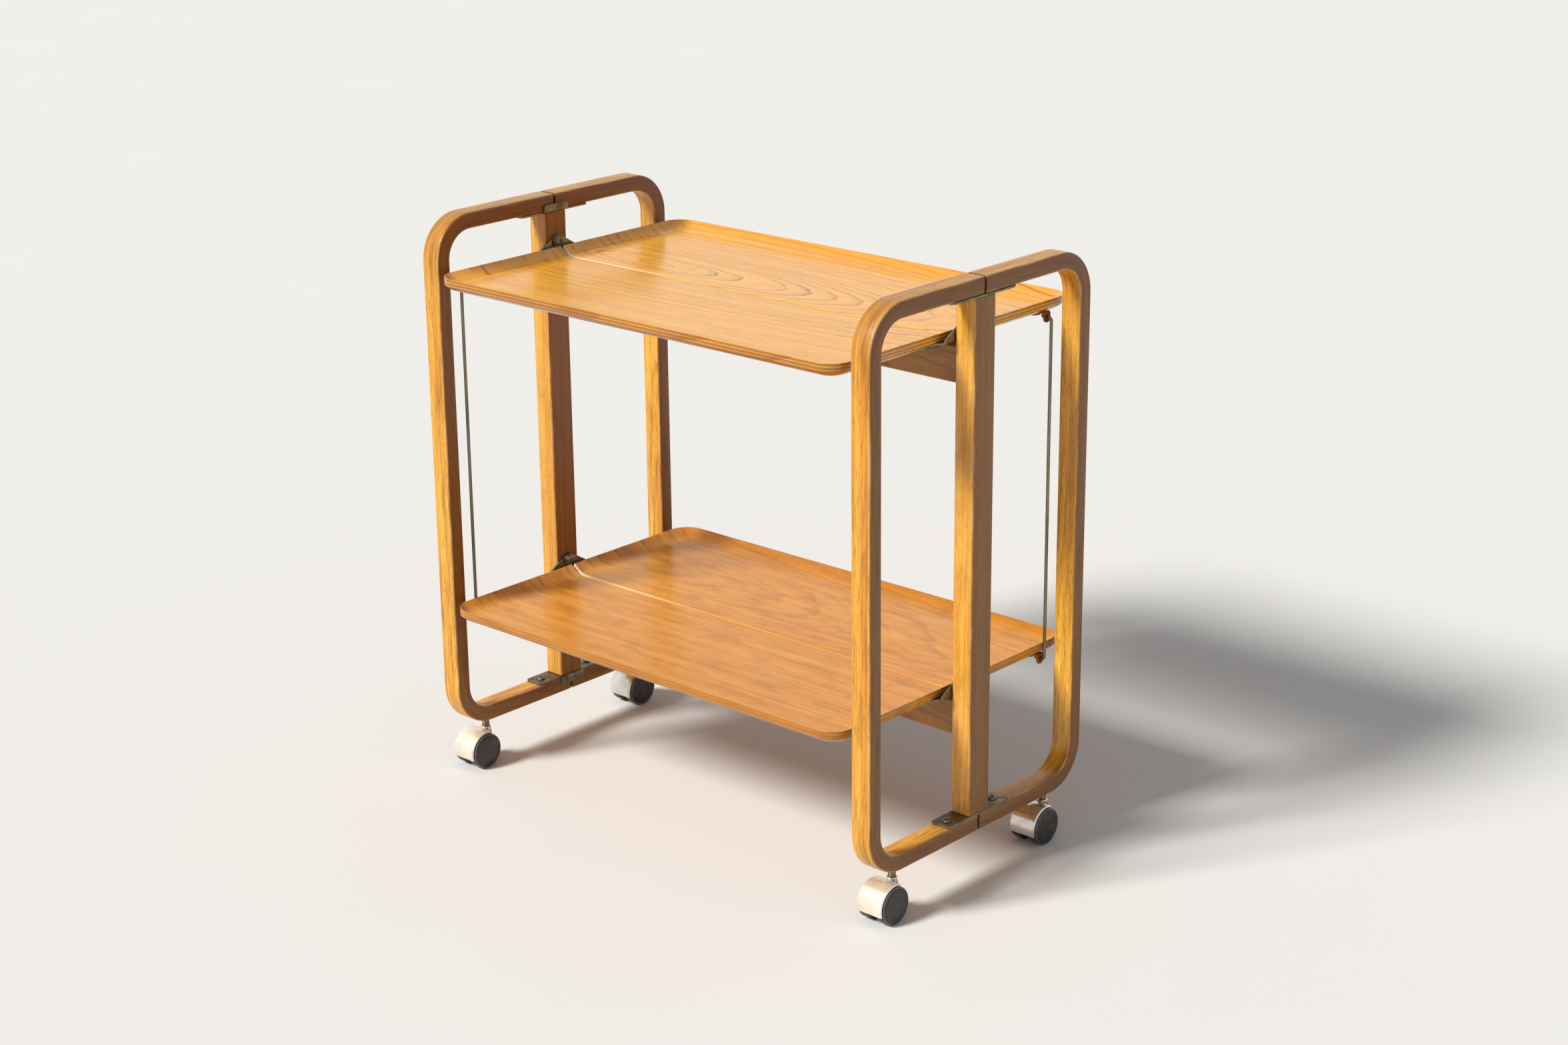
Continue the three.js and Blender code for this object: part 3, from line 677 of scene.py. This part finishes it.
def tray_line(inset, z, face):
    """Outline of one tray half at a distance in from the rim, open along the saw cut."""
    end, edge, radius = tray_end - inset, tray_side - inset, plan_radius - inset
    corner = [
        (end - radius * (1 - math.cos(a)), edge - radius * (1 - math.sin(a)))
        for a in (math.pi / 2 * i / corner_steps for i in range(corner_steps + 1))
    ]
    half = [(end, saw_gap), *corner]
    whole = half + [(-x, y) for x, y in reversed(half)]
    return [(x, face * y, z) for x, y in whole]


def tray_half_mesh(name, face, pivot_z, grain_start, log_place, log_slope):
    """Both skins of the plywood as matching lines from the flat floor up to the rim."""
    flat_from = lip_run + floor_edge
    stations = [(flat_from, floor_drop, flat_from, floor_drop + ply)]
    for i in range(lip_steps + 1):
        angle = lip_slope * i / lip_steps
        stations.append(
            (
                lip_run - lip_bend * math.sin(angle),
                floor_drop - lip_bend * (1 - math.cos(angle)),
                lip_run - (lip_bend + ply) * math.sin(angle),
                floor_drop + ply - (lip_bend + ply) * (1 - math.cos(angle)),
            )
        )
    stations.append((0.0, rim_drop, 0.0, rim_drop + ply / math.cos(lip_slope)))
    skins = [
        [tray_line(top_in, pivot_z - top_drop, face) for top_in, top_drop, _, _ in stations],
        [tray_line(low_in, pivot_z - low_drop, face) for _, _, low_in, low_drop in stations],
    ]
    count, rows = len(skins[0][0]), len(stations)
    points = [p for skin in skins for line in skin for p in line]
    # depth through the layers, shifted a little so that no glue line lies in the face sheet's surface
    shift = 0.06
    own = [
        (x + grain_start, y, depth)
        for skin, depth in zip(skins, (ply * shift, ply * (1 + shift)))
        for line in skin
        for x, y, _ in line
    ]

    def at(skin, row, i):
        return (skin * rows + row) * count + i

    polygons = []
    for skin in (0, 1):
        polygons.append([at(skin, 0, i) for i in range(count)])
        for row in range(rows - 1):
            for i in range(count - 1):
                here, next_row = at(skin, row, i), at(skin, row + 1, i)
                polygons.append([here, here + 1, next_row + 1, next_row])
    for i in range(count - 1):
        rim = rows - 1
        polygons.append([at(0, rim, i), at(0, rim, i + 1), at(1, rim, i + 1), at(1, rim, i)])
    for i in (0, count - 1):
        for row in range(rows - 1):
            polygons.append([at(0, row, i), at(0, row + 1, i), at(1, row + 1, i), at(1, row, i)])
    polygons.append([at(0, 0, 0), at(0, 0, count - 1), at(1, 0, count - 1), at(1, 0, 0)])

    mesh = bpy.data.meshes.new(name)
    mesh.from_pydata(points, [], polygons)
    from_log = [
        (x - grain_start, y + log_place[0], depth + log_place[1] + log_slope * (x - grain_start))
        for x, y, depth in own
    ]
    for source, places in (("grain", own), ("log", from_log)):
        mesh.attributes.new(source, "FLOAT_VECTOR", "POINT").data.foreach_set(
            "vector", [c for p in places for c in p]
        )
    # the upper edges of the saw cut get a wider rounding than the others
    top = rows * count
    weights = mesh.attributes.new("bevel_weight_edge", "FLOAT", "EDGE").data
    for edge in mesh.edges:
        ends = [mesh.vertices[i].co for i in edge.vertices]
        at_cut = all(abs(abs(end.y) - saw_gap) < 1e-6 for end in ends)
        weights[edge.index].value = float(at_cut and max(edge.vertices) < top)
    face_outwards(mesh)
    return mesh


for level, pivot_z in tray_levels.items():
    for face_name, face in faces.items():
        name = f"tray_{level}_{face_name}"
        mesh = tray_half_mesh("moulded_" + name, face, pivot_z, *tray_veneers[level])
        mesh.materials.append(tray_finishes[level])
        half = settle("moulded_" + name, mesh, sharp=50)
        rounding = half.modifiers.new("saw_cut", "BEVEL")
        rounding.width, rounding.segments, rounding.limit_method = 0.0026, 4, "WEIGHT"
        soften(half, width=0.0006, angle=60, segments=2)
        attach(half, body_of[name])
        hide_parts(name)

# Hinge plates, folding arms and rod tabs: pressed from sheet steel, bent, and zinc plated, now dull
# and dark. Their solids keep the true folds, and the edges get the rounding of a tumbled pressing.


def metal_finish(
    name,
    colour,
    dark,
    roughness,
    scale_mm,
    specks=0.35,
    speck_from=0.60,
    clouds=0.75,
    streak=1.0,
    metallic=1.0,
    bump=0.1,
):
    """Metal with a clouded tone and dark specks. A streak over 1 draws both out in Z, as fine lines."""
    cloud_size, speck_soft = 0.12, 0.1
    material, tree = new_finish(name)
    place = add_node(tree, "ShaderNodeTexCoord").outputs["Object"]
    stretched = add_node(
        tree,
        "ShaderNodeMapping",
        {"Vector": place, "Scale": tuple(v / (scale_mm * MM) for v in (1, 1, 1 / streak))},
    ).outputs[0]
    drift, fine = [
        add_node(
            tree,
            "ShaderNodeTexNoise",
            {"Vector": stretched, "Scale": scale, "Detail": detail, "Roughness": roughening},
        ).outputs["Fac"]
        for scale, detail, roughening in ((cloud_size, 5.0, 0.62), (1.0, 3.0, 0.6))
    ]
    cloud, speck = [
        add_node(
            tree,
            "ShaderNodeMapRange",
            {"Value": value, "From Min": low, "From Max": high, "To Max": most},
        ).outputs[0]
        for value, low, high, most in (
            (drift, 0.35, 0.68, clouds),
            (fine, speck_from, speck_from + speck_soft, specks),
        )
    ]
    share = add_node(tree, "ShaderNodeMath", {0: cloud, 1: speck}, operation="MAXIMUM").outputs[0]
    tone = add_node(
        tree, "ShaderNodeMix", {0: share, 6: linear(colour), 7: linear(dark)}, data_type="RGBA"
    ).outputs[2]
    rough = add_node(
        tree,
        "ShaderNodeMapRange",
        {"Value": share, "To Min": roughness, "To Max": min(1.0, roughness + 0.28)},
    ).outputs[0]
    normal = add_node(
        tree, "ShaderNodeBump", {"Height": fine, "Strength": bump, "Distance": 0.0002}
    ).outputs[0]
    shader = add_node(
        tree,
        "ShaderNodeBsdfPrincipled",
        {"Base Color": tone, "Roughness": rough, "Normal": normal, "Metallic": metallic},
    )
    add_node(tree, "ShaderNodeOutputMaterial", {"Surface": shader.outputs[0]})
    return material


# Zinc plate gone dull: an olive grey without a mirror image, clouded darker where it was handled.
# The tabs at the rods are painted a warm brown, a painted reflection of the lit wood around them.
plated_sheet = metal_finish(
    "zinc_plated_sheet_steel_dulled", "#8c8570", "#474034", roughness=0.38, scale_mm=1.6
)
tab_sheet_wood_reflection = metal_finish(
    "zinc_plated_sheet_steel_rusting", "#b0703c", "#54301a", roughness=0.48, scale_mm=1.8
)
pressings = [f"hinge_plate_{end}_{side_name}" for end in ("top", "bottom") for side_name in sides]
pressings += [
    f"arm_{level}_{side_name}_{face_name}"
    for level in tray_levels
    for side_name in sides
    for face_name in faces
]
pressings += [f"rod_tab_{level}_{face_name}" for level in tray_levels for face_name in faces]
for node in pressings:
    mesh = frame["nodes"][node].data.copy()
    mesh.materials.clear()
    # the tabs get the painted reflection of the wood
    mesh.materials.append(tab_sheet_wood_reflection if node.startswith("rod_tab") else plated_sheet)
    work = bmesh.new()
    work.from_mesh(mesh)
    bmesh.ops.remove_doubles(work, verts=work.verts, dist=2e-6)
    bmesh.ops.dissolve_limit(
        work, angle_limit=math.radians(0.5), verts=work.verts, edges=work.edges
    )
    work.to_mesh(mesh)
    work.free()
    pressing = settle("pressed_" + node, mesh, sharp=30)
    soften(pressing, width=0.00035, angle=40, segments=2)
    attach(pressing, body_of[node])
    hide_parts(node)

# Screws and bolts: turned steel with domed heads and a cross recess, plated like the brackets. The
# large heads are the pivots of the frames and trays; the small ones hold arms and tabs to the ply.


def lathe(rings, steps):
    """Points and faces of a closed body round Z. A ring is a radius, or a function of the angle, and
    a height."""
    points, polygons = [], []
    for radius, z in rings:
        for i in range(steps):
            angle = 2 * math.pi * i / steps
            r = radius(angle) if callable(radius) else radius
            points.append((r * math.cos(angle), r * math.sin(angle), z))
    last = (len(rings) - 1) * steps
    for here in range(0, last, steps):
        for i in range(steps):
            j = (i + 1) % steps
            polygons.append([here + i, here + j, here + steps + j, here + steps + i])
    polygons.append(list(range(steps))[::-1])
    polygons.append([last + i for i in range(steps)])
    return points, polygons


def cross(radius, waist=0.52):
    """Radius of a four-armed recess at any angle, with its narrowest share between the arms."""
    return lambda angle: radius * (waist + (1 - waist) * abs(math.cos(2 * angle)) ** 3)


def screw_tree():
    """Geometry tree that sets a head on every point, turned to the point's own direction."""
    tree, names, given = new_maker_tree(
        "heads_on_seats",
        (
            ("Geometry", "NodeSocketGeometry"),
            ("Head", "NodeSocketObject"),
            ("Head Radius", "NodeSocketFloat"),
            ("Finish", "NodeSocketMaterial"),
        ),
    )
    head = add_node(tree, "GeometryNodeObjectInfo", {"Object": given["Head"]})
    facing = add_node(
        tree, "GeometryNodeInputNamedAttribute", {"Name": "facing"}, data_type="FLOAT_VECTOR"
    ).outputs[0]
    spin = add_node(
        tree, "GeometryNodeInputNamedAttribute", {"Name": "spin"}, data_type="FLOAT"
    ).outputs[0]
    turn = add_node(
        tree, "FunctionNodeAlignRotationToVector", {"Vector": facing}, axis="Z"
    ).outputs[0]
    own = add_node(
        tree,
        "FunctionNodeRotateRotation",
        {0: turn, 1: add_node(tree, "ShaderNodeCombineXYZ", {2: spin}).outputs[0]},
        rotation_space="LOCAL",
    ).outputs[0]
    placed = add_node(
        tree,
        "GeometryNodeInstanceOnPoints",
        {
            "Points": given["Geometry"],
            "Instance": head.outputs["Geometry"],
            "Rotation": own,
            "Scale": given["Head Radius"],
        },
    ).outputs[0]
    whole = add_node(tree, "GeometryNodeRealizeInstances", {0: placed}).outputs[0]
    done = add_node(
        tree, "GeometryNodeSetMaterial", {"Geometry": whole, "Material": given["Finish"]}
    ).outputs[0]
    add_node(tree, "NodeGroupOutput", {0: done})
    return tree, names


# a head of radius 1 with its neck below the seat, as rings of a radius and a height
dome_rise, dome_foot = 0.44, 0.03
head_rings = [(0.45, -1.0), (0.45, -0.02), (0.96, -0.02), (1.0, 0.02)]
head_rings += [
    (math.cos(a), dome_foot + dome_rise * math.sin(a)) for a in (math.pi * i / 16 for i in range(1, 7))
]
head_rings += [(cross(0.42), 0.42), (cross(0.36), 0.26), (cross(0.1), 0.2)]
head_points, head_faces = lathe(head_rings, steps=32)
head_mesh = bpy.data.meshes.new("head_of_radius_one")
head_mesh.from_pydata(head_points, [], head_faces)
head_pattern = settle("head_pattern", head_mesh, sharp=45)
heads, head_inputs = screw_tree()
# Turned steel with old zinc plate: smoother than the brackets, so that a small highlight sits on each
# domed head.
screw_steel = metal_finish(
    "zinc_plated_screw_steel", "#847e72", "#443e35", roughness=0.33, scale_mm=1.1, specks=0.5
)


def set_heads(name, body, seats, radius, nodes=()):
    """Heads on one body; a seat is a place and the way the head faces."""
    guide = bpy.data.meshes.new(name + "_seats")
    guide.from_pydata([place for place, _ in seats], [], [])
    guide.attributes.new("facing", "FLOAT_VECTOR", "POINT").data.foreach_set(
        "vector", [c for _, facing in seats for c in facing]
    )
    # a screwdriver leaves each recess at an angle of its own
    guide.attributes.new("spin", "FLOAT", "POINT").data.foreach_set(
        "value", [0.7 * i + len(name) for i in range(len(seats))]
    )
    inputs = {"Head": head_pattern, "Head Radius": radius, "Finish": screw_steel}
    row = settle(name, made_mesh(guide, heads, head_inputs, inputs), sharp=45)
    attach(row, body)
    if nodes:
        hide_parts(*nodes)


low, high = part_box("hinge_screw_top_right_rear")
hinge_y, pivot_head = (low.y + high.y) / 2, (high.x - low.x) / 2
small_head, head_gap, bolt_head_height = 0.0033, 0.0004, 0.0032
top_seat_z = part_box("hinge_plate_top_right")[0].z - head_gap
bottom_seat_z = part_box("hinge_plate_bottom_right")[1].z + head_gap
for side_name, side in sides.items():
    for face_name, face in faces.items():
        corner = f"{side_name}_{face_name}"
        set_heads(
            f"hinge_heads_{corner}",
            body_of[f"frame_half_{corner}"],
            [
                ((side * frame_x, face * hinge_y, top_seat_z), (0, 0, -1)),
                ((side * frame_x, face * hinge_y, bottom_seat_z), (0, 0, 1)),
            ],
            pivot_head,
            [f"hinge_screw_top_{corner}", f"hinge_screw_bottom_{corner}"],
        )
bolt_seat_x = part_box("tray_bolt_upper_right")[0].x + bolt_head_height
set_heads(
    "tray_bolt_heads",
    body_of["tray_bolt_upper_left"],
    [((s * bolt_seat_x, 0, z), (-s, 0, 0)) for s in sides.values() for z in tray_levels.values()],
    pivot_head,
    [f"tray_bolt_{level}_{side_name}" for level in tray_levels for side_name in sides],
)
arm_screws, arm_flange_drop = ((0.307, 0.025), (0.317, 0.041)), 0.0287
tab_screws, tab_flange_drop = ((0.307, 0.181), (0.318, 0.181)), 0.0285
for level, pivot_z in tray_levels.items():
    for face_name, face in faces.items():
        seats = [
            ((s * x, face * y, pivot_z - arm_flange_drop), (0, 0, -1))
            for s in sides.values()
            for x, y in arm_screws
        ]
        seats += [
            ((face * x, face * y, pivot_z - tab_flange_drop), (0, 0, -1)) for x, y in tab_screws
        ]
        tray_body = body_of[f"tray_{level}_{face_name}"]
        set_heads(f"flange_heads_{level}_{face_name}", tray_body, seats, small_head)
bpy.data.objects.remove(head_pattern)

# Link rods: drawn steel wire, its two ends bent square round a peg and pushed through the holes of
# the upper and the lower tab, so that the lower tray folds with the upper one.

# Drawn steel: a dark grey wire with lines along it, which stretch its highlight lengthways. They are
# drawn many times as wide as real ones, so that they show.
drawn_wire = metal_finish(
    "drawn_steel_wire",
    "#918b78",
    "#4b4539",
    roughness=0.28,
    scale_mm=0.9,
    specks=0.55,
    streak=14,
    bump=0.06,
)
low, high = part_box("link_rod_rear")
hook_x, rod_y, wire = low.x, (low.y + high.y) / 2, high.y - low.y
rod_x, hole_drop = 0.3518, 0.028
upper_z, lower_z = (pivot_z - hole_drop for pivot_z in tray_levels.values())
# the front rod stands at the left end and the rear one at the right
for face_name, face in faces.items():
    rod = section_piece(
        f"hooked_rod_{face_name}",
        [
            (face * hook_x, face * rod_y, upper_z),
            (face * rod_x, face * rod_y, upper_z),
            (face * rod_x, face * rod_y, lower_z),
            (face * hook_x, face * rod_y, lower_z),
        ],
        Bend_Radius=0.005,
        Bend_Steps=8,
        Side=(0.0, 1.0, 0.0),
        Width=wire,
        Thickness=wire,
        Edge_Radius=wire / 2,
        Finish=drawn_wire,
    )
    soften(rod, width=0.0004)
    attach(rod, body_of[f"link_rod_{face_name}"])
    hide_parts(f"link_rod_{face_name}")

# Casters: a turned steel stem, a pressed hood with bright chrome over a dark moulded web, and two
# moulded wheels with domed caps, each cap set in a bevelled ring painted lighter as a highlight
# on the wheel's shoulder.


def cast(name, points, polygons, place, material, body, slot):
    """A closed body from points and faces, moved to its place, with its faces turned outwards."""
    mesh = bpy.data.meshes.new(name)
    mesh.from_pydata([place @ Vector(p) for p in points], [], polygons)
    mesh.materials.append(material)
    face_outwards(mesh, merge=1e-6)
    piece = settle(name, mesh, sharp=35)
    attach(piece, body)
    return piece


def moulded_finish(name, colour, dust, roughness):
    """Moulded plastic with a fine sparked grain, and pale dust where the noise is high."""
    dust_mm, spark_mm = 7.69, 0.714
    material, tree = new_finish(name)
    place = add_node(tree, "ShaderNodeTexCoord").outputs["Object"]
    dusty = add_node(
        tree,
        "ShaderNodeTexNoise",
        {"Vector": place, "Scale": 1 / (dust_mm * MM), "Detail": 5.0, "Roughness": 0.65},
    ).outputs["Fac"]
    share = add_node(
        tree,
        "ShaderNodeMapRange",
        {"Value": dusty, "From Min": 0.5, "From Max": 0.75, "To Min": 0.0, "To Max": 0.55},
    ).outputs[0]
    tone = add_node(
        tree, "ShaderNodeMix", {0: share, 6: linear(colour), 7: linear(dust)}, data_type="RGBA"
    ).outputs[2]
    spark = add_node(
        tree, "ShaderNodeTexNoise", {"Vector": place, "Scale": 1 / (spark_mm * MM), "Detail": 2.0}
    ).outputs["Fac"]
    normal = add_node(
        tree, "ShaderNodeBump", {"Height": spark, "Strength": 0.12, "Distance": 0.0002}
    ).outputs[0]
    rough = add_node(
        tree, "ShaderNodeMapRange", {"Value": share, "To Min": roughness, "To Max": roughness + 0.3}
    ).outputs[0]
    shader = add_node(
        tree,
        "ShaderNodeBsdfPrincipled",
        {"Base Color": tone, "Roughness": rough, "Normal": normal, "IOR": 1.5},
    )
    add_node(tree, "ShaderNodeOutputMaterial", {"Surface": shader.outputs[0]})
    return material


# Chrome plate on pressed steel. On the front hoods it has yellowed and chipped, which leaves a creamy
# sheen with a few dark pits, drawn three times as large as real ones. The rear ones still mirror.
hood_plates = {
    "front": metal_finish(
        "chrome_plate_pitted_creamy",
        "#f6eedb",
        "#5d5140",
        roughness=0.24,
        scale_mm=3.2,
        specks=1.0,
        speck_from=0.625,
        clouds=0.28,
        metallic=0.5,
        bump=0.05,
    ),
    "rear": metal_finish(
        "chrome_plate_bright",
        "#e4e2dc",
        "#8a8375",
        roughness=0.14,
        scale_mm=1.6,
        specks=0.4,
        clouds=0.3,
        metallic=0.8,
        bump=0.03,
    ),
}
# Moulded nylon: nearly black, with a soft broad sheen and pale dust. The rings round the caps are the
# same plastic, painted grey as a highlight on the wheels' shoulders. The sparked grain of the mould
# is drawn several times as coarse as it is.
hard_black = moulded_finish("moulded_nylon_dark_grey", "#2b2a29", "#6b645b", roughness=0.42)
cap_ring = moulded_finish("moulded_cap_ring_grey", "#5b575c", "#989295", roughness=0.3)
low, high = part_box("caster_stem_right_rear")
stem_y = (low.y + high.y) / 2
low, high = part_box("wheel_outer_right_rear")
trail, axle_z = stem_y - (low.y + high.y) / 2, (low.z + high.z) / 2
shell_in, shell_out, shell_half, shoulder, shell_inset = 0.0262, 0.0278, 0.0205, 0.003, 0.0006
shell_from, shell_to, shell_rows = math.radians(-17), math.radians(114), 30

# the hood: a section, across and away from the axle, swept round it from low in front to the back
shoulder_arc = [
    (shell_half - shoulder * (1 - math.cos(a)), shell_out - shoulder * (1 - math.sin(a)))
    for a in (math.radians(30 + 10 * i) for i in range(7))
]
shell_loop = [(s * (shell_half - shell_inset), shell_in) for s in (-1, 1)] + shoulder_arc
shell_loop += [(-x, r) for x, r in reversed(shoulder_arc)]
shell_points, shell_faces = [], []
loop = len(shell_loop)
for row in range(shell_rows + 1):
    angle = shell_from + (shell_to - shell_from) * row / shell_rows
    shell_points += [(x, -r * math.cos(angle), r * math.sin(angle)) for x, r in shell_loop]
for here in range(0, shell_rows * loop, loop):
    for i in range(loop):
        j = (i + 1) % loop
        shell_faces.append([here + i, here + j, here + loop + j, here + loop + i])
shell_faces += [list(range(loop)), [shell_rows * loop + i for i in range(loop)]]

# the web: its outline follows the hood, comes down behind the boss and goes round the axle
web_half, web_radius, hub = 0.006, 0.0268, 0.009
web_back, web_back_top, web_back_foot = trail + 0.005, 0.0225, 0.004
web_line = [
    (-web_radius * math.cos(a), web_radius * math.sin(a))
    for a in (shell_to * i / 14 for i in range(15))
]
web_line += [(web_back, web_back_top), (web_back, web_back_foot)]
web_line += [
    (hub * math.cos(a), hub * math.sin(a)) for a in (math.radians(-20 - 14 * i) for i in range(11))
]
web_points = [(x, y, z) for x in (-web_half, web_half) for y, z in web_line]
turns = len(web_line)
web_faces = [list(range(turns)), list(range(turns, 2 * turns))]
web_faces += [[i, (i + 1) % turns, turns + (i + 1) % turns, turns + i] for i in range(turns)]

# turned and moulded outlines: a radius and a height for each ring, in metres
boss_rings = [(0.0044, 0.0390), (0.0068, 0.0468), (0.007, 0.0472), (0.007, 0.0526), (0.0064, 0.0534)]
boss_rings += [(0.0046, 0.0535), (0.0044, 0.0531), (0.0044, 0.050)]
stem_rings = [(0.004, 0.0392), (0.004, 0.0539), (0.0047, 0.0541), (0.005, 0.0544), (0.005, 0.0618)]
stem_rings += [(0.0055, 0.0624), (0.0074, 0.0633), (0.008, 0.0637), (0.008, 0.0653), (0.0076, 0.0657)]
stem_rings += [(0.005, 0.0657), (0.005, 0.080)]
tread = [(0.0044, 0.0066), (0.0231, 0.0066), (0.0244, 0.0071), (0.025, 0.0083), (0.025, 0.0186)]
tread += [(0.0248, 0.0194), (0.0240, 0.0198), (0.0044, 0.0198)]
ring = [(0.0200, 0.0196), (0.0246, 0.0196), (0.0247, 0.0203), (0.0242, 0.0211), (0.0233, 0.0217)]
ring += [(0.0227, 0.0217), (0.0223, 0.0209), (0.0200, 0.0206)]
cap = [(0.0045, 0.0203), (0.0220, 0.0203), (0.0222, 0.0213), (0.0217, 0.0220)]
cap_radius, cap_foot, cap_rise = 0.0222, 0.0217, 0.0023
cap += [
    (cap_radius * math.cos(a), cap_foot + cap_rise * math.sin(a))
    for a in (math.radians(18 + 12 * i) for i in range(6))
]
cap += [(0.0012, 0.0240)]
moulded_parts = {"tread": (tread, hard_black), "cap_ring": (ring, cap_ring), "cap": (cap, hard_black)}
for side_name, side in sides.items():
    for face_name, face in faces.items():
        corner = f"{side_name}_{face_name}"
        stem_place = Matrix.Translation((side * frame_x, face * stem_y, 0))
        axle_place = Matrix.Translation((side * frame_x, face * stem_y - trail, axle_z))
        hood_body, wheel_body = body_of[f"caster_hood_{corner}"], body_of[f"wheel_outer_{corner}"]
        stem = cast(
            f"caster_stem_turned_{corner}",
            *lathe(stem_rings, steps=28),
            stem_place,
            screw_steel,
            body_of[f"caster_stem_{corner}"],
            "bracket_steel",
        )
        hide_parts(f"caster_stem_{corner}")
        shell = cast(
            f"hood_shell_{corner}",
            shell_points,
            shell_faces,
            axle_place,
            hood_plates[face_name],
            hood_body,
            "chrome",
        )
        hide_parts(f"caster_hood_{corner}")
        soften(shell, width=0.0004, angle=60, segments=2)
        web = cast(
            f"hood_web_{corner}",
            web_points,
            web_faces,
            axle_place,
            hard_black,
            hood_body,
            "wheel_plastic",
        )
        soften(web, width=0.0006, segments=2)
        cast(
            f"hood_boss_{corner}",
            *lathe(boss_rings, steps=28),
            stem_place,
            hood_plates[face_name],
            hood_body,
            "chrome",
        )
        for wheel_name, sense in (("outer", side), ("inner", -side)):
            upright = axle_place @ Matrix.Rotation(sense * math.pi / 2, 4, "Y")
            for part, (rings, finish) in moulded_parts.items():
                moulding = cast(
                    f"{part}_{wheel_name}_{corner}",
                    *lathe(rings, steps=64),
                    upright,
                    finish,
                    wheel_body,
                    "wheel_plastic",
                )
                if part == "tread":
                    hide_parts(f"wheel_{wheel_name}_{corner}")

# Studio: a plain pale floor, one wide soft key from the front left, even light from all round, and
# the camera where the photograph was taken from. The air is a pale backdrop where it is seen,
# straight or in metal and varnish, and lights the object far less than it shows.

floor_reach = 20
floor_mesh = bpy.data.meshes.new("studio_floor")
floor_corners = [(x * floor_reach, y * floor_reach, 0) for x, y in ((-1, -1), (1, -1), (1, 1), (-1, 1))]
floor_mesh.from_pydata(floor_corners, [], [(0, 1, 2, 3)])
# Matt emulsion on a studio floor: pale, without gloss, so that only the soft shadow shows on it. The
# roller left a mottle that can hardly be seen.
mottle_mm = 333
floor_paint, tree = new_finish("floor_paint_matt_pale")
place = add_node(tree, "ShaderNodeTexCoord").outputs["Object"]
mottle = add_node(
    tree, "ShaderNodeTexNoise", {"Vector": place, "Scale": 1 / (mottle_mm * MM), "Detail": 3.0}
).outputs["Fac"]
paint = add_node(
    tree, "ShaderNodeMix", {0: mottle, 6: linear("#e6e6e6"), 7: linear("#e9e9e8")}, data_type="RGBA"
).outputs[2]
matt = add_node(
    tree, "ShaderNodeBsdfPrincipled", {"Base Color": paint, "Roughness": 0.9, "IOR": 1.45}
)
add_node(tree, "ShaderNodeOutputMaterial", {"Surface": matt.outputs[0]})
floor_mesh.materials.append(floor_paint)
floor = settle("studio_floor", floor_mesh)

centre = Vector((0, 0, 0.4))
key = bpy.data.lights.new("key_far_softbox", "SUN")
key.angle = math.radians(14)
key.energy = 3.8
key.color = linear("#fffcf6")[:3]
key_light = bpy.data.objects.new("key_far_softbox", key)
key_light.location = (-1.3, -3.6, 3.6)
key_light.rotation_mode = "QUATERNION"
key_light.rotation_quaternion = (centre - key_light.location).to_track_quat("-Z", "Y")
bpy.context.scene.collection.objects.link(key_light)

world = bpy.data.worlds.new("studio_air")
world.use_nodes = True
tree = world.node_tree
tree.nodes.clear()
air = add_node(tree, "ShaderNodeBackground", {"Color": linear("#ffffff"), "Strength": 0.3})
backdrop = add_node(tree, "ShaderNodeBackground", {"Color": linear("#eeede9"), "Strength": 1.0})
rays = add_node(tree, "ShaderNodeLightPath").outputs
seen = rays["Is Camera Ray"]
for kind in ("Is Glossy Ray", "Is Transmission Ray"):
    seen = add_node(tree, "ShaderNodeMath", {0: seen, 1: rays[kind]}, operation="MAXIMUM").outputs[0]
both = add_node(tree, "ShaderNodeMixShader", {0: seen, 1: air.outputs[0], 2: backdrop.outputs[0]})
add_node(tree, "ShaderNodeOutputWorld", {"Surface": both.outputs[0]})
bpy.context.scene.world = world

# the camera's place, turn and lens were fitted to the corners of the frames in the photograph
lens = bpy.data.cameras.new("long_lens")
lens.sensor_width = 36.0
lens.lens = 64.628
camera = bpy.data.objects.new("photograph_view", lens)
right = Vector((0.74382938, 0.66830304, -0.00942811))
up = Vector((-0.2060455, 0.2427046, 0.9479661))
back = Vector((0.63581688, -0.70318242, 0.31823164))
turn = Matrix((right, up, back)).transposed().to_4x4()
camera.matrix_world = Matrix.Translation((2.40828, -2.59920, 1.58541)) @ turn
bpy.context.scene.collection.objects.link(camera)
bpy.context.scene.camera = camera
bpy.context.scene.view_settings.view_transform = "Standard"
